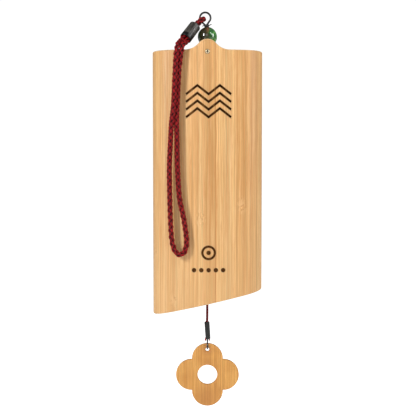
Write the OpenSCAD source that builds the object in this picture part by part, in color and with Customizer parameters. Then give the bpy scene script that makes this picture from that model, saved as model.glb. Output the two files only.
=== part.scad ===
// Wind chime: a flat-oval bamboo body with tuned rods inside, a hand strap and a wind sail.
// Origin: centre of the hanging eye. +X to the right, +Y to the back, +Z up. Millimetres.

/* [Body] */
// Width of the flat-oval body
body_w = 110; // [104:1:116]
// Depth of the body, front to rear
body_d = 54; // [52:1:58]
// Radius of the body's rounded sides
side_r = 23; // [21:1:25]
// Thickness of the bamboo wall
wall = 5; // [4:0.5:6]
// Height of the top edge, below the hanging eye
top_z = -34.1; // [-36:0.1:-33]
// Height of the slanted bottom edge on the body's axis
mouth_z = -285.8; // [-300:0.1:-250]
// Angle of the slanted bottom edge
mouth_slant = 12.8; // [0:0.05:16]
// Distance from the hanging eye to the body's axis, to the right
axis_x = 2.2; // [1.8:0.1:2.6]

/* [Hump] */
// Height of the hump above the top edge
hump_h = 10.2; // [9:0.1:10.6]
// Half of the hump's width where it meets the top edge
hump_half_w = 22; // [20:1:26]
// Radius of the hump's rounded top
hump_top_r = 11; // [9:0.5:12]

/* [Burned pattern] */
// Number of zigzag rows
zigzag_rows = 4; // [1:1:6]
// Width of one leg of the zigzag
zigzag_leg_w = 11.05; // [9:0.05:12]
// Height of the zigzag from valley to peak
zigzag_h = 8.6; // [6:0.1:11]
// Distance from row to row
zigzag_pitch = 7.5; // [6:0.1:10]
// Width of the burned line
burn_line = 2.1; // [1:0.1:3]
// Depth of the burned pattern
burn_depth = 0.5; // [0.3:0.1:1]

/* [Hanger] */
// Mean radius of the hanging eye
eye_r = 5.4; // [5.3:0.1:5.6]
// Radius of the hanger wire
wire_r = 0.75; // [0.6:0.05:0.75]
// Radius of the glass bead
bead_r = 9.75; // [9:0.05:9.75]
// Radius of the crossbar that carries the body
crossbar_r = 6; // [5:0.1:6]

/* [Strap] */
// Radius of the strap's cord
cord_r = 2.2; // [1.8:0.1:2.2]
// Outer radius of the strap's sleeve
sleeve_r = 6; // [5.7:0.1:6]
// Length of the strap's sleeve
sleeve_len = 19; // [17:0.5:19]

/* [Voice] */
// Radius of a rod
rod_r = 1.5; // [1:0.1:1.5]
// Radius of the circle that the rods stand on
rod_circle_r = 16; // [15.5:0.1:16]
// Length of the shortest rod
rod_short = 88; // [86:1:92]
// Step in length from one rod to the next
rod_step = 6; // [4:0.5:6]
// Radius of the striker disc
striker_r = 8; // [6:0.1:8]

/* [Sail] */
// Radius of each of the sail's four lobes
lobe_r = 15.8; // [15:0.1:16]
// Distance from the sail's centre to the centre of a lobe
lobe_offset = 16.3; // [16:0.1:16.6]
// Thickness of the sail
sail_t = 4.5; // [3:0.1:4.5]
// Radius of the sail's middle hole
sail_hole_r = 10; // [8:0.5:11]

/* [Hidden] */
$fn = 64;
arc_fn = 256;         // facets of the body's large arcs
glue_gap = 0.1;       // room for glue between fitted wooden pieces
cut_over = 1;         // how far a cutter runs past the surface it cuts

// Body section: four arcs, two wide ones for the faces and two tight ones for the sides
side_x = body_w / 2 - side_r;
face_r = (side_x * side_x + pow(body_d / 2, 2) - side_r * side_r) / (body_d - 2 * side_r);
face_y = face_r - body_d / 2;
face_angle = round(100 * atan2(side_x, face_y)) / 100;
lap = 0.001;          // degrees by which the face runs into the sides, so that they join
body_low = mouth_z - tan(mouth_slant) * body_w / 2 - cut_over;

// Hump outline: a round top and two hollow flanks that run out into the top edge
flank_r = (hump_half_w * hump_half_w + hump_h * hump_h - 2 * hump_h * hump_top_r) / (2 * hump_h);
crown_y = hump_h - hump_top_r;
crown_angle = atan2(flank_r - crown_y, hump_half_w);
arc_steps = 12;

// Burned pattern
zigzag_x = 1.2;
zigzag_top_z = -69.3;
ornament_x = 1.2;
ornament_z = -234;
ornament_ring_r = 7.2;
ornament_dot_r = 2.1;
ornament_dots = 5;
ornament_dot_pitch = 7.2;
ornament_drop = 17.2;

// Hanger
crossbar_z = -36.4;
crossbar_half_len = body_d / 2 - wall - 0.2;
bead_z = -18.9;
bead_bore_r = 1.9;
leg_gap = 0.8;        // half the distance between the wire's two legs
lower_eye_r = crossbar_r + wire_r + 0.1;
leg_top_z = -9;
knot_z = -8;
knot_x = 1.4;
knot_r = 2.65;
knot_wire_r = 0.6;
knot_tail_r = 0.55;
knot_tip_r = 0.25;
knot_tails = [[1, 72, 2.6], [-1, -80, 2.2]]; // side, angle from +Z, length
neck_x = 0.1;         // left side of the wire's neck, just under the eye
neck_rise = 1.6;

// Screws in the crossbar's ends
screw_r = 1.25;
screw_hole_r = 1.6;
pilot_r = 1.3;
screw_len = 13.5;
pilot_over = 1.5;     // how far the drilled hole runs past the screw
seat_gap = 0.02;      // screw heads stand this far off what they hold
shank_lap = 0.3;      // how far a shank runs into its head
screw_head_r = 2.4;
screw_head_h = 1.3;
recess_w = 0.6;
recess_len = 2.6;
recess_depth = 0.7;

// Strap: the sleeve leans down, to the left and to the front
sleeve_top = [-10.1, -2, -8.2];
sleeve_tilt = 136.6;  // from +Z
sleeve_turn = -136.8; // about Z
sleeve_dir = [sin(sleeve_tilt) * cos(sleeve_turn), sin(sleeve_tilt) * sin(sleeve_turn), cos(sleeve_tilt)];
sleeve_end = sleeve_top + sleeve_len * sleeve_dir;
sleeve_bore_r = 5;
strand_gap = cord_r + 0.2;
loop_gap = 3.4;       // free length of cord between the sleeve and the long loop
strap_y = -body_d / 2 - cord_r - 1; // plane of the long loop, in front of the body
strap_left = [[-25, 11.2, -26.3], [-26.5, 4.4, -28.6], [-27.7, -0.4, -32.6], [-28.4, -2.3, -38],
              [-29.2, -3, -52], [-30.1, -3, -78], [-31, -2.9, -92], [-32.6, -1.8, -104], [-33.8, 0, -122],
              [-35, 0, -150], [-34.7, 0, -178], [-34.1, 0, -200], [-32.9, 0, -220], [-29.8, 0, -231.5],
              [-24.8, 0, -235.5]]; // down the left strand: x, distance behind the loop's plane, z
strap_right = [[-20.1, 0, -231.9], [-18.3, 0, -221], [-21, 0, -200.5], [-25.2, 0, -179], [-27, 0, -152],
               [-27.6, 0, -122], [-28, 0, -104], [-27.4, 0, -90], [-26.8, 0, -77], [-25.8, 0, -58],
               [-24.6, 0, -46], [-23.2, 0, -37.2], [-22.2, 0.6, -32.2], [-21.2, 4.2, -28.9],
               [-20.2, 10.7, -26.8]]; // up the right strand, which lies behind the left one near the top
eye_hold_angle = 213; // where the strap rides on the eye, from +X
arch_r = 3.4;         // radius of the bend round the eye's wire
held = 6;             // length of the eye loop's ends inside the sleeve

// Voice
rod_count = 8;
board_top_z = -58;
board_t = 6;
board_pilot = 5.5;    // depth of the screw holes in the board
plate_r = 20;
plate_t = 3;
plate_top_z = board_top_z - board_t;
plate_low_z = plate_top_z - plate_t;
rod_inset = 0.3;
rod_fit = 0.02;       // room between a rod and its hole
first_rod_angle = 22.5;
plate_screw_circle_r = 9;
plate_screw_count = 3;
plate_screw_r = 1.2;
plate_screw_head_r = 2.4;
plate_screw_head_h = 1.5;
plate_screw_len = 7.5;
plate_screw_taper = 0.6;
plate_hole_r = 1.3;
hook_r = 2.4;
hook_wire_r = 0.6;
hook_neck = 0.5;      // gap between the hook's ring and the plate
hook_shank = 6;
hook_z = plate_low_z - hook_r - hook_wire_r - hook_neck;
ring_r = 3.2;
ring_wire_r = 0.5;
hang_play = 0.05;
ring_z = hook_z - hook_r + hook_wire_r + ring_wire_r + hang_play - ring_r;

// Striker, tail and sail hang in line below the swivel ring
thin_r = 0.95;        // radius of the thin cord
cord_loop_r = 2.2;
cord_loop_z = ring_z - ring_r + ring_wire_r + thin_r + hang_play - cord_loop_r;
striker_z = -140;
striker_t = 5;
striker_bore_r = 1.05;
knot_ball_r = 2;
striker_cord_end_z = -146;
tail_top_z = -148.2;
tail_sleeve_top_z = -308.1;
tail_sleeve_len = 17.4;
tail_sleeve_r = 2.35;
tail_sleeve_bore_r = 1.1;
tail_sleeve_tip = 3;  // open length of the sleeve below the cord's end
tail_end_z = tail_sleeve_top_z - tail_sleeve_len + tail_sleeve_tip;
sail_z = -361.3;
thread_hole_r = 2;
thread_hole_z = sail_z + 25.9;
thread_r = 0.6;
thread_z = thread_hole_z + 1; // where the thread carries the sail
thread_y = sail_t / 2 + 1.15;
thread_gap = 1.2;     // from the sleeve down to the top of the thread

bamboo = [0.88, 0.68, 0.42];
dark_bamboo = [0.76, 0.52, 0.27];
crimson = [0.55, 0.05, 0.09];
black = [0.06, 0.06, 0.07];
steel = [0.75, 0.76, 0.78];

// Point i of a list; past an end it is the end point, or on a closed loop it goes on round
function at(p, i, loop) = p[loop ? (i + len(p)) % len(p) : max(0, min(i, len(p) - 1))];
// A point on a smooth curve through the points p, between points i and i + 1
function spline_point(p, i, t, loop) =
    let (a = at(p, i - 1, loop), b = p[i], c = at(p, i + 1, loop), d = at(p, i + 2, loop))
    0.5 * (2 * b + (c - a) * t + (2 * a - 5 * b + 4 * c - d) * t * t + (3 * b - a - 3 * c + d) * t * t * t);
// All points of the smooth curve, with the given number of steps from point to point
function spline(p, steps, loop = false) =
    concat([for (i = [0:len(p) - (loop ? 1 : 2)], k = [0:steps - 1]) spline_point(p, i, k / steps, loop)],
           loop ? [] : [p[len(p) - 1]]);
function unit(v) = v / norm(v);
function tangent(p, i, loop) = unit(at(p, i + 1, loop) - at(p, i - 1, loop));
// A ring of points round the path's point i; flat is a direction across the plane of the path
function ring_points(p, i, r, sides, flat, loop) =
    let (t = tangent(p, i, loop), u = unit(cross(t, flat)), v = cross(t, u))
    [for (j = [0:sides - 1]) p[i] + r * (cos(360 * j / sides) * u + sin(360 * j / sides) * v)];

// Points of an arc in the XZ plane about [cx, cz]
function arc_xz(cx, cz, r, from, to, steps) =
    [for (i = [0:steps]) let (a = from + (to - from) * i / steps) [cx + r * cos(a), cz + r * sin(a)]];

// A round cord of radius r along the path p, open with two caps or closed in a loop
module cord(p, r, flat, sides = 14, loop = false) {
    rings = len(p);
    points = [for (i = [0:rings - 1]) each ring_points(p, i, r, sides, flat, loop)];
    walls = [for (i = [0:rings - (loop ? 1 : 2)], j = [0:sides - 1])
        let (here = i * sides, next = ((i + 1) % rings) * sides, k = (j + 1) % sides)
        [here + j, next + j, next + k, here + k]];
    first_cap = [for (j = [0:sides - 1]) j];
    last_cap = [for (j = [0:sides - 1]) rings * sides - 1 - j];
    polyhedron(points, concat(walls, loop ? [] : [first_cap, last_cap]), convexity = 6);
}

// A ring of round wire in the XZ plane about the origin
module wire_ring(r, wire) {
    rotate([90, 0, 0])
        rotate_extrude()
            translate([r, 0])
                circle(wire);
}

// Everything that hangs on the body's axis
module on_axis(z) {
    translate([axis_x, 0, z])
        children();
}

// A curved slice of wall: part of a ring about a vertical line through centre
module wall_sector(centre, inner_r, outer_r, from, sweep, low, high) {
    translate([centre[0], centre[1], low])
        rotate_extrude(angle = sweep, start = from, $fn = arc_fn)
            translate([inner_r, 0])
                square([outer_r - inner_r, high - low]);
}

// Front half of the oval tube, before it is cut
module half_tube() {
    high = top_z + hump_h + cut_over;
    wall_sector([0, face_y], face_r - wall, face_r, 270 - face_angle - lap, 2 * (face_angle + lap),
                body_low, high);
    wall_sector([side_x, 0], side_r - wall, side_r, 270 + face_angle, 90 - face_angle, body_low, high);
    wall_sector([-side_x, 0], side_r - wall, side_r, 180, 90 - face_angle, body_low, high);
}

// Half of the hump's outline, from its crown down to the top edge on the right
function hump_right() = concat(
    arc_xz(0, crown_y, hump_top_r, 90, crown_angle, arc_steps),
    arc_xz(hump_half_w, flank_r, flank_r, 180 + crown_angle, 270, arc_steps));

// Material above the top edge and the hump
module above_top() {
    right = hump_right();
    left = [for (i = [len(right) - 1:-1:1]) [-right[i][0], right[i][1]]];
    edge = body_w / 2 + cut_over;
    lid = hump_h + 2 * cut_over;
    translate([0, body_d, top_z])
        rotate([90, 0, 0])
            linear_extrude(2 * body_d)
                polygon(concat([[-edge, 0]], left, right, [[edge, 0], [edge, lid], [-edge, lid]]));
}

// Material below the slanted mouth
module below_mouth() {
    translate([0, 0, mouth_z])
        rotate([0, -mouth_slant, 0])
            translate([-body_w, -body_d, -body_w])
                cube([2 * body_w, 2 * body_d, body_w]);
}

// One zigzag line as a flat outline
module zigzag_line() {
    half = burn_line / 2 / cos(atan2(zigzag_h, zigzag_leg_w));
    upper = [for (i = [0:4]) [(i - 2) * zigzag_leg_w, (i % 2) * zigzag_h + half]];
    lower = [for (i = [4:-1:0]) [(i - 2) * zigzag_leg_w, (i % 2) * zigzag_h - half]];
    polygon(concat(upper, lower));
}

// Burned ring with a dot in it, over a row of dots
module ornament() {
    difference() {
        circle(ornament_ring_r);
        circle(ornament_ring_r - burn_line);
    }
    circle(ornament_dot_r);
    for (i = [0:ornament_dots - 1])
        translate([(i - (ornament_dots - 1) / 2) * ornament_dot_pitch, -ornament_drop])
            circle(ornament_dot_r);
}

// The burned pattern, as the thin skin it takes off the front
module burned_pattern() {
    intersection() {
        wall_sector([0, face_y], face_r - burn_depth, face_r + cut_over, 270 - face_angle, 2 * face_angle,
                    body_low, top_z);
        rotate([90, 0, 0])
            linear_extrude(body_d) {
                for (row = [0:zigzag_rows - 1])
                    translate([zigzag_x, zigzag_top_z - zigzag_h - row * zigzag_pitch])
                        zigzag_line();
                translate([ornament_x, ornament_z])
                    ornament();
            }
    }
}

// Half of the body with its hump, mouth and screw hole
module half_body() {
    difference() {
        half_tube();
        above_top();
        below_mouth();
        translate([0, 0, crossbar_z])
            rotate([90, 0, 0])
                cylinder(r = screw_hole_r, h = body_d);
    }
}

module front_shell() {
    color(bamboo)
        on_axis(0)
            difference() {
                half_body();
                burned_pattern();
            }
}

module rear_shell() {
    color(bamboo)
        on_axis(0)
            mirror([0, 1, 0])
                half_body();
}

// Dowel from front to rear; each end is drilled for a screw
module crossbar() {
    color(dark_bamboo)
        on_axis(crossbar_z)
            rotate([90, 0, 0])
                difference() {
                    cylinder(r = crossbar_r, h = 2 * crossbar_half_len, center = true);
                    for (side = [-1, 1])
                        translate([0, 0, side * crossbar_half_len])
                            cylinder(r = pilot_r, h = 2 * (screw_len - wall + pilot_over), center = true);
                }
}

// Round-head wood screw with a cross recess, pointing to the back
module crossbar_screw() {
    dome_r = (screw_head_r * screw_head_r + screw_head_h * screw_head_h) / (2 * screw_head_h);
    rotate([-90, 0, 0])
        translate([0, 0, -body_d / 2]) {
            difference() {
                translate([0, 0, -seat_gap])
                    intersection() {
                        translate([0, 0, dome_r - screw_head_h])
                            sphere(dome_r);
                        translate([0, 0, -screw_head_h])
                            cylinder(r = screw_head_r, h = screw_head_h);
                    }
                for (turn = [0, 90])
                    rotate([0, 0, turn])
                        translate([-recess_len / 2, -recess_w / 2, -2 * screw_head_h])
                            cube([recess_len, recess_w, screw_head_h + recess_depth]);
            }
            translate([0, 0, -shank_lap])
                cylinder(r = screw_r, h = screw_len + shank_lap);
        }
}

module crossbar_screws() {
    color("silver")
        on_axis(crossbar_z) {
            crossbar_screw();
            rotate([0, 0, 180])
                crossbar_screw();
        }
}

// Flat oval board that fills the tube
module sound_board() {
    outer = side_r - wall - glue_gap;
    big = face_r - wall - glue_gap;
    steps = 24;
    front = concat(
        [for (i = [0:steps]) let (a = 180 + (90 - face_angle) * i / steps)
            [-side_x + outer * cos(a), outer * sin(a)]],
        [for (i = [1:steps]) let (a = 270 - face_angle + 2 * face_angle * i / steps)
            [big * cos(a), face_y + big * sin(a)]],
        [for (i = [1:steps]) let (a = 270 + face_angle + (90 - face_angle) * i / steps)
            [side_x + outer * cos(a), outer * sin(a)]]);
    rear = [for (i = [len(front) - 2:-1:1]) [front[i][0], -front[i][1]]];
    color(bamboo)
        on_axis(board_top_z - board_t)
            difference() {
                linear_extrude(board_t)
                    polygon(concat(front, rear));
                screw_circle()
                    translate([0, 0, -cut_over])
                        cylinder(r = plate_hole_r, h = board_pilot + cut_over);
                translate([0, 0, -cut_over])
                    cylinder(r = plate_hole_r, h = board_pilot + cut_over);
            }
}

// Places a child at each plate screw
module screw_circle() {
    for (i = [0:plate_screw_count - 1])
        rotate([0, 0, 90 + 360 * i / plate_screw_count])
            translate([plate_screw_circle_r, 0, 0])
                children();
}

// Steel disc that holds the rods
module rod_plate() {
    color(steel)
        on_axis(plate_low_z)
            difference() {
                cylinder(r = plate_r, h = plate_t - glue_gap);
                for (i = [1:rod_count])
                    rotate([0, 0, first_rod_angle + 360 * (i - 1) / rod_count])
                        translate([rod_circle_r, 0, -cut_over])
                            cylinder(r = rod_r + rod_fit, h = plate_t + 2 * cut_over);
                screw_circle()
                    translate([0, 0, -cut_over])
                        cylinder(r = plate_hole_r, h = plate_t + 2 * cut_over);
                translate([0, 0, -cut_over])
                    cylinder(r = plate_hole_r, h = plate_t + 2 * cut_over);
            }
}

// Screws from below, through the plate and into the board
module plate_screws() {
    color("silver")
        on_axis(plate_low_z - seat_gap)
            screw_circle() {
                cylinder(r = plate_screw_r, h = plate_screw_len);
                difference() {
                    translate([0, 0, -plate_screw_head_h])
                        cylinder(r1 = plate_screw_head_r - plate_screw_taper, r2 = plate_screw_head_r,
                                 h = plate_screw_head_h);
                    translate([-plate_screw_head_r, -recess_w / 2, -plate_screw_head_h - cut_over])
                        cube([2 * plate_screw_head_r, recess_w, cut_over + recess_depth]);
                }
            }
}

// Screw eye in the middle of the plate; its ring lies in the YZ plane
module hook() {
    color(steel)
        on_axis(hook_z) {
            rotate([0, 0, 90])
                wire_ring(hook_r, hook_wire_r);
            translate([0, 0, hook_r])
                cylinder(r = plate_screw_r, h = hook_shank);
        }
}

// Tuned rod number i; each is one step longer than the one before
module tone_rod(i) {
    length = rod_short + rod_step * (i - 1);
    color(steel)
        on_axis(plate_top_z - rod_inset - length)
            rotate([0, 0, first_rod_angle + 360 * (i - 1) / rod_count])
                translate([rod_circle_r, 0, 0])
                    cylinder(r = rod_r, h = length, $fn = 32);
}

// Small ring that hangs in the hook
module swivel_ring() {
    color(steel)
        on_axis(ring_z)
            wire_ring(ring_r, ring_wire_r);
}

// Thin cord with a loop round the swivel ring; it runs down through the striker
module striker_cord() {
    color(crimson)
        on_axis(0) {
            translate([0, 0, cord_loop_z])
                rotate([0, 0, 90])
                    wire_ring(cord_loop_r, thin_r);
            translate([0, 0, striker_cord_end_z])
                cylinder(r = thin_r, h = cord_loop_z - cord_loop_r - striker_cord_end_z, $fn = 32);
        }
}

module striker_disc() {
    color(dark_bamboo)
        on_axis(striker_z)
            difference() {
                cylinder(r = striker_r, h = striker_t, center = true);
                cylinder(r = striker_bore_r, h = 2 * striker_t, center = true);
            }
}

// Knots that hold the striker from above and from below
module striker_knots() {
    color(crimson)
        for (side = [-1, 1])
            on_axis(striker_z + side * (striker_t / 2 + knot_ball_r + hang_play))
                difference() {
                    sphere(knot_ball_r, $fn = 32);
                    cylinder(r = striker_bore_r, h = 3 * knot_ball_r, center = true);
                }
}

// Thin cord from below the striker down into its sleeve
module tail_cord() {
    color(crimson)
        on_axis(tail_end_z)
            cylinder(r = thin_r, h = tail_top_z - tail_end_z, $fn = 32);
}

module tail_sleeve() {
    color(black)
        on_axis(tail_sleeve_top_z - tail_sleeve_len)
            difference() {
                cylinder(r = tail_sleeve_r, h = tail_sleeve_len);
                translate([0, 0, -cut_over])
                    cylinder(r = tail_sleeve_bore_r, h = tail_sleeve_len + 2 * cut_over);
            }
}

// Closed loop of thread over the sail's rim and through its small hole
module sail_thread() {
    top = tail_sleeve_top_z - tail_sleeve_len - thread_gap;
    side = [[0, top], [2, top - 0.9], [thread_y, top - 3], [thread_y, thread_z + 2.6],
            [thread_y - 0.2, thread_z + 0.8], [sail_t / 2, thread_z], [0, thread_z]];
    right = [for (q = side) [0, q[0], q[1]]];
    left = [for (i = [len(side) - 2:-1:1]) [0, -side[i][0], side[i][1]]];
    color(black)
        on_axis(0)
            cord(spline(concat(right, left), 3, loop = true), thread_r, [1, 0, 0], 10, loop = true);
}

// Wind catcher: four round lobes, a large middle hole and a small one for the thread
module sail() {
    color(dark_bamboo)
        on_axis(sail_z)
            rotate([90, 0, 0])
                linear_extrude(sail_t, center = true)
                    difference() {
                        for (turn = [0:90:270])
                            rotate(turn)
                                translate([lobe_offset, 0])
                                    circle(lobe_r, $fn = 96);
                        circle(sail_hole_r);
                        translate([0, thread_hole_z - sail_z])
                            circle(thread_hole_r);
                    }
}

// Glass bead on the two legs of the hanger wire
module glass_bead() {
    color([0.10, 0.22, 0.10])
        on_axis(bead_z)
            difference() {
                sphere(bead_r, $fn = 96);
                cylinder(r = bead_bore_r, h = 3 * bead_r, center = true);
            }
}

// Hanging eye, two legs through the bead, and the lower eye round the crossbar
module hanger_wire() {
    eye = [for (a = [222:-12:-42]) eye_r * [cos(a), 0, sin(a)]];
    left = [axis_x - leg_gap, 0, leg_top_z];
    right = [axis_x + leg_gap, 0, leg_top_z];
    neck = [[neck_x, 0, leg_top_z + neck_rise], [neck_x + 2 * leg_gap, 0, leg_top_z + neck_rise]];
    low = crossbar_z + lower_eye_r;
    color(black) {
        cord(concat([[left[0], 0, low], left, neck[0]], eye, [neck[1], right, [right[0], 0, low]]),
             wire_r, [0, 1, 0], 12);
        on_axis(crossbar_z)
            wire_ring(lower_eye_r, wire_r);
    }
}

// Knot on the neck of the wire, with two short tails
module neck_knot() {
    color(black)
        translate([knot_x, 0, knot_z]) {
            rotate_extrude()
                translate([knot_r, 0])
                    circle(knot_wire_r, $fn = 24);
            for (tail = knot_tails)
                translate([tail[0] * knot_r, 0, 0])
                    rotate([0, tail[1], 0])
                        cylinder(r1 = knot_tail_r, r2 = knot_tip_r, h = tail[2], $fn = 24);
        }
}

// Short end of the strap: out of the sleeve, round the eye's wire and back
module strap_eye_loop() {
    out = [cos(eye_hold_angle), 0, sin(eye_hold_angle)];
    hold = eye_r * out;
    across = unit([0, 1, 0] - sleeve_dir[1] * sleeve_dir);
    arch = [for (a = [-90:30:90]) hold + arch_r * (sin(a) * [0, 1, 0] - cos(a) * out)];
    ends = [for (side = [-1, 1]) sleeve_top + side * strand_gap * across];
    color(crimson)
        cord(spline(concat([ends[0] + held * sleeve_dir, ends[0]], arch,
                           [ends[1], ends[1] + held * sleeve_dir]), 4),
             cord_r, unit(cross(out, [0, 1, 0])));
}

// Tube that binds the strap's strands
module strap_sleeve() {
    color([0.16, 0.16, 0.16])
        translate(sleeve_top)
            rotate([0, sleeve_tilt, sleeve_turn])
                difference() {
                    cylinder(r = sleeve_r, h = sleeve_len);
                    translate([0, 0, -cut_over])
                        cylinder(r = sleeve_bore_r, h = sleeve_len + 2 * cut_over);
                }
}

// Long loop: over the body's top edge, down its front, round and back up
module hand_loop() {
    start = sleeve_end + loop_gap * sleeve_dir;
    across = unit(cross([0, 1, 0], sleeve_dir));
    middle = [for (q = concat(strap_left, strap_right)) [q[0], strap_y + q[1], q[2]]];
    path = concat([start + strand_gap * across], middle, [start - strand_gap * across]);
    color(crimson)
        cord(spline(path, 4), cord_r, [0, 1, 0]);
}

hanger_wire();
neck_knot();
glass_bead();
strap_eye_loop();
strap_sleeve();
hand_loop();
front_shell();
rear_shell();
crossbar();
crossbar_screws();
sound_board();
rod_plate();
plate_screws();
hook();
tone_rod(1);  // tone_rod_1
tone_rod(2);  // tone_rod_2
tone_rod(3);  // tone_rod_3
tone_rod(4);  // tone_rod_4
tone_rod(5);  // tone_rod_5
tone_rod(6);  // tone_rod_6
tone_rod(7);  // tone_rod_7
tone_rod(8);  // tone_rod_8
swivel_ring();
striker_cord();
striker_disc();
striker_knots();
tail_cord();
tail_sleeve();
sail_thread();
sail();
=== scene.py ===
"""Looks of a bamboo wind chime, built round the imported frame.

Lengths are millimetres in the frame's axes (+X right, +Y back, +Z up, origin in the hanging eye);
MM turns them into metres. Only the stage, the lamps and the camera are given in metres.
"""
import math

import bmesh
import bpy
import numpy as np
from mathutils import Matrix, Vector


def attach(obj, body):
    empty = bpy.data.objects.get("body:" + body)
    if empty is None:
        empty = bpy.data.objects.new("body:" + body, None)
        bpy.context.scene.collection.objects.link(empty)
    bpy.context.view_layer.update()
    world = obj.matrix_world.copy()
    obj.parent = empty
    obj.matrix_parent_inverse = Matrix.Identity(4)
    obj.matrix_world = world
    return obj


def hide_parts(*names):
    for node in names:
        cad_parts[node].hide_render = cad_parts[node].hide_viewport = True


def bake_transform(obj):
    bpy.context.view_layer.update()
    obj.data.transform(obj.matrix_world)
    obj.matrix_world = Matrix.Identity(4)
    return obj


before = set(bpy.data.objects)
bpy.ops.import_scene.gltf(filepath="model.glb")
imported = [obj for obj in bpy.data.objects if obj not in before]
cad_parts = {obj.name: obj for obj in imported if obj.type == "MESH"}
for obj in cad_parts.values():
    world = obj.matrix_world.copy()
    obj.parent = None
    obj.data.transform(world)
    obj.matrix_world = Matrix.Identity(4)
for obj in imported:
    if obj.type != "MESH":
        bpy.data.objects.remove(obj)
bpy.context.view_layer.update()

MM = 0.001
AXIS = 2.2                   # x of the line that everything below the eye hangs on

# Body: four arcs in plan, a hump on the top edge, a slanted mouth
WIDTH, DEPTH, SIDE_R, WALL = 110.0, 54.0, 23.0, 5.0
TOP_Z, MOUTH_Z, MOUTH_SLANT = -34.1, -285.8, math.radians(12.8)
HUMP_H, HUMP_HALF, CROWN_R = 10.2, 22.0, 11.0
OUTER_LIP, INNER_LIP = 1.5, 0.8
WALL_SLACK, SEAM_SLACK = 0.05, 1e-6    # how far off a wall or the seam still counts as on it
FACING = 0.985                         # share of a face's direction that must point along the wall's
SIDE_X = WIDTH / 2 - SIDE_R
FACE_R = (SIDE_X ** 2 + (DEPTH / 2) ** 2 - SIDE_R ** 2) / (DEPTH - 2 * SIDE_R)
FACE_Y = FACE_R - DEPTH / 2
FACE_ANGLE = math.atan2(SIDE_X, FACE_Y)
FLANK_R = (HUMP_HALF ** 2 + HUMP_H ** 2 - 2 * HUMP_H * CROWN_R) / (2 * HUMP_H)

# Burned pattern on the front
ZIG_X, ZIG_TOP, ZIG_LEG, ZIG_H, ZIG_PITCH, ZIG_ROWS = 1.2, -69.3, 11.05, 8.6, 7.5, 4
BURN_LINE, BURN_DEPTH = 2.1, 0.5
ORNAMENT_X, ORNAMENT_Z, RING_R, DOT_R = 1.2, -234.0, 7.2, 2.1
DOT_PITCH, DOT_DROP, DOTS = 7.2, 17.2, 5

# Hanger, bead and screws
EYE_R, WIRE_R, LEG_GAP = 5.4, 0.95, 0.8
CROSSBAR_Z, LOWER_EYE_R = -36.4, 6.85
BEAD_R, BEAD_Z, BEAD_BORE = 9.75, -18.9, 1.9
KNOT_X, KNOT_Z, KNOT_R, KNOT_WIRE = 1.4, -8.0, 2.55, 0.62
SCREW_HOLE_R = 1.6

# Strap
SLEEVE_TOP = np.array([-10.1, -2.0, -8.2])
SLEEVE_TILT, SLEEVE_TURN = math.radians(136.6), math.radians(-136.8)
# the last of these is the length at the sleeve's lower end painted black as shade
SLEEVE_LEN, SLEEVE_R, SLEEVE_BORE, SHADED_END = 19.0, 5.8, 5.0, 4.3
CORD_R, CORE_R, STRAND_GAP, ARCH_R, LOOP_GAP = 2.2, 1.4, 2.4, 3.4, 3.4
EYE_HOLD = math.radians(213)
STRAP_Y = -DEPTH / 2 - CORD_R - 1
BRAID_R, BRAID_PITCH, CARRIERS = 2.9, 19.5, 3
# Middle of the long loop: x, distance behind its plane, z; down the left strand and up the right one
STRAP_LINE = [
    (-25, 11.2, -26.3), (-26.2, 4.4, -28.6), (-27.1, -0.4, -32.6), (-27.9, -2.3, -38), (-28.9, -3, -52),
    (-30.1, -3, -78), (-31, -2.9, -92), (-32.6, -1.8, -104), (-33.8, 0, -122), (-35, 0, -150),
    (-34.7, 0, -178), (-34.1, 0, -200), (-32.9, 0, -220), (-29.8, 0, -231.5), (-24.8, 0, -235.5),
    (-20.1, 0, -231.9), (-18.3, 0, -221), (-21, 0, -200.5), (-25.2, 0, -179), (-27, 0, -152),
    (-27.6, 0, -122), (-28, 0, -104), (-27.4, 0, -90), (-26.8, 0, -77), (-25.8, 0, -58),
    (-24.6, 0, -46), (-23.4, 0, -37.2), (-22.5, 0.6, -32.2), (-21.4, 4.2, -28.9), (-20.2, 10.7, -26.8)]

# Striker, tail and sail
RING_LOW_Z = -78.15          # where the striker's cord hangs in the swivel ring
THIN_BRAID_R, THIN_PITCH, CORD_LOOP_R = 1.4, 8.0, 2.2
STRIKER_Z, STRIKER_T, KNOT_BALL_R = -140.0, 5.0, 2.0
TAIL_SLEEVE_TOP, TAIL_SLEEVE_LEN, TAIL_SLEEVE_R, TAIL_SLEEVE_BORE = -307.0, 18.0, 2.6, 1.25
SAIL_Z, SAIL_T, LOBE_R, LOBE_OFF, SAIL_HOLE_R = -361.3, 4.5, 15.8, 16.3, 10.0
THREAD_HOLE_R, THREAD_HOLE_Z, THREAD_R = 2.0, -335.4, 0.75

# Light that the floor and the world give to the object, and how bright they look to the camera
FLOOR_GLOW, SKY_GLOW = 0.22, 0.16
FLOOR_SEEN, SKY_SEEN = 0.95, 1.05

# Stage, lamps and camera, in metres and watts
FLOOR_HALF, FLOOR_Z = 6.0, -0.43
BODY_MIDDLE, BODY_TOP = (0, 0, -0.17), (0, 0, -0.02)
CAMERA_PLACE, CAMERA_TARGET, VIEW_WIDTH = Vector((0.0028, -0.96, -0.142)), Vector((0.0028, 0, -0.191)), 0.4217
SENSOR = 36.0                # camera sensor's width, millimetres


# ---------------------------------------------------------------- small mesh and path helpers

def unit(v):
    return v / np.linalg.norm(v)


def put_in_scene(name, data):
    """A new object from a mesh, a curve, a lamp or a camera."""
    made = bpy.data.objects.new(name, data)
    bpy.context.scene.collection.objects.link(made)
    return made


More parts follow.
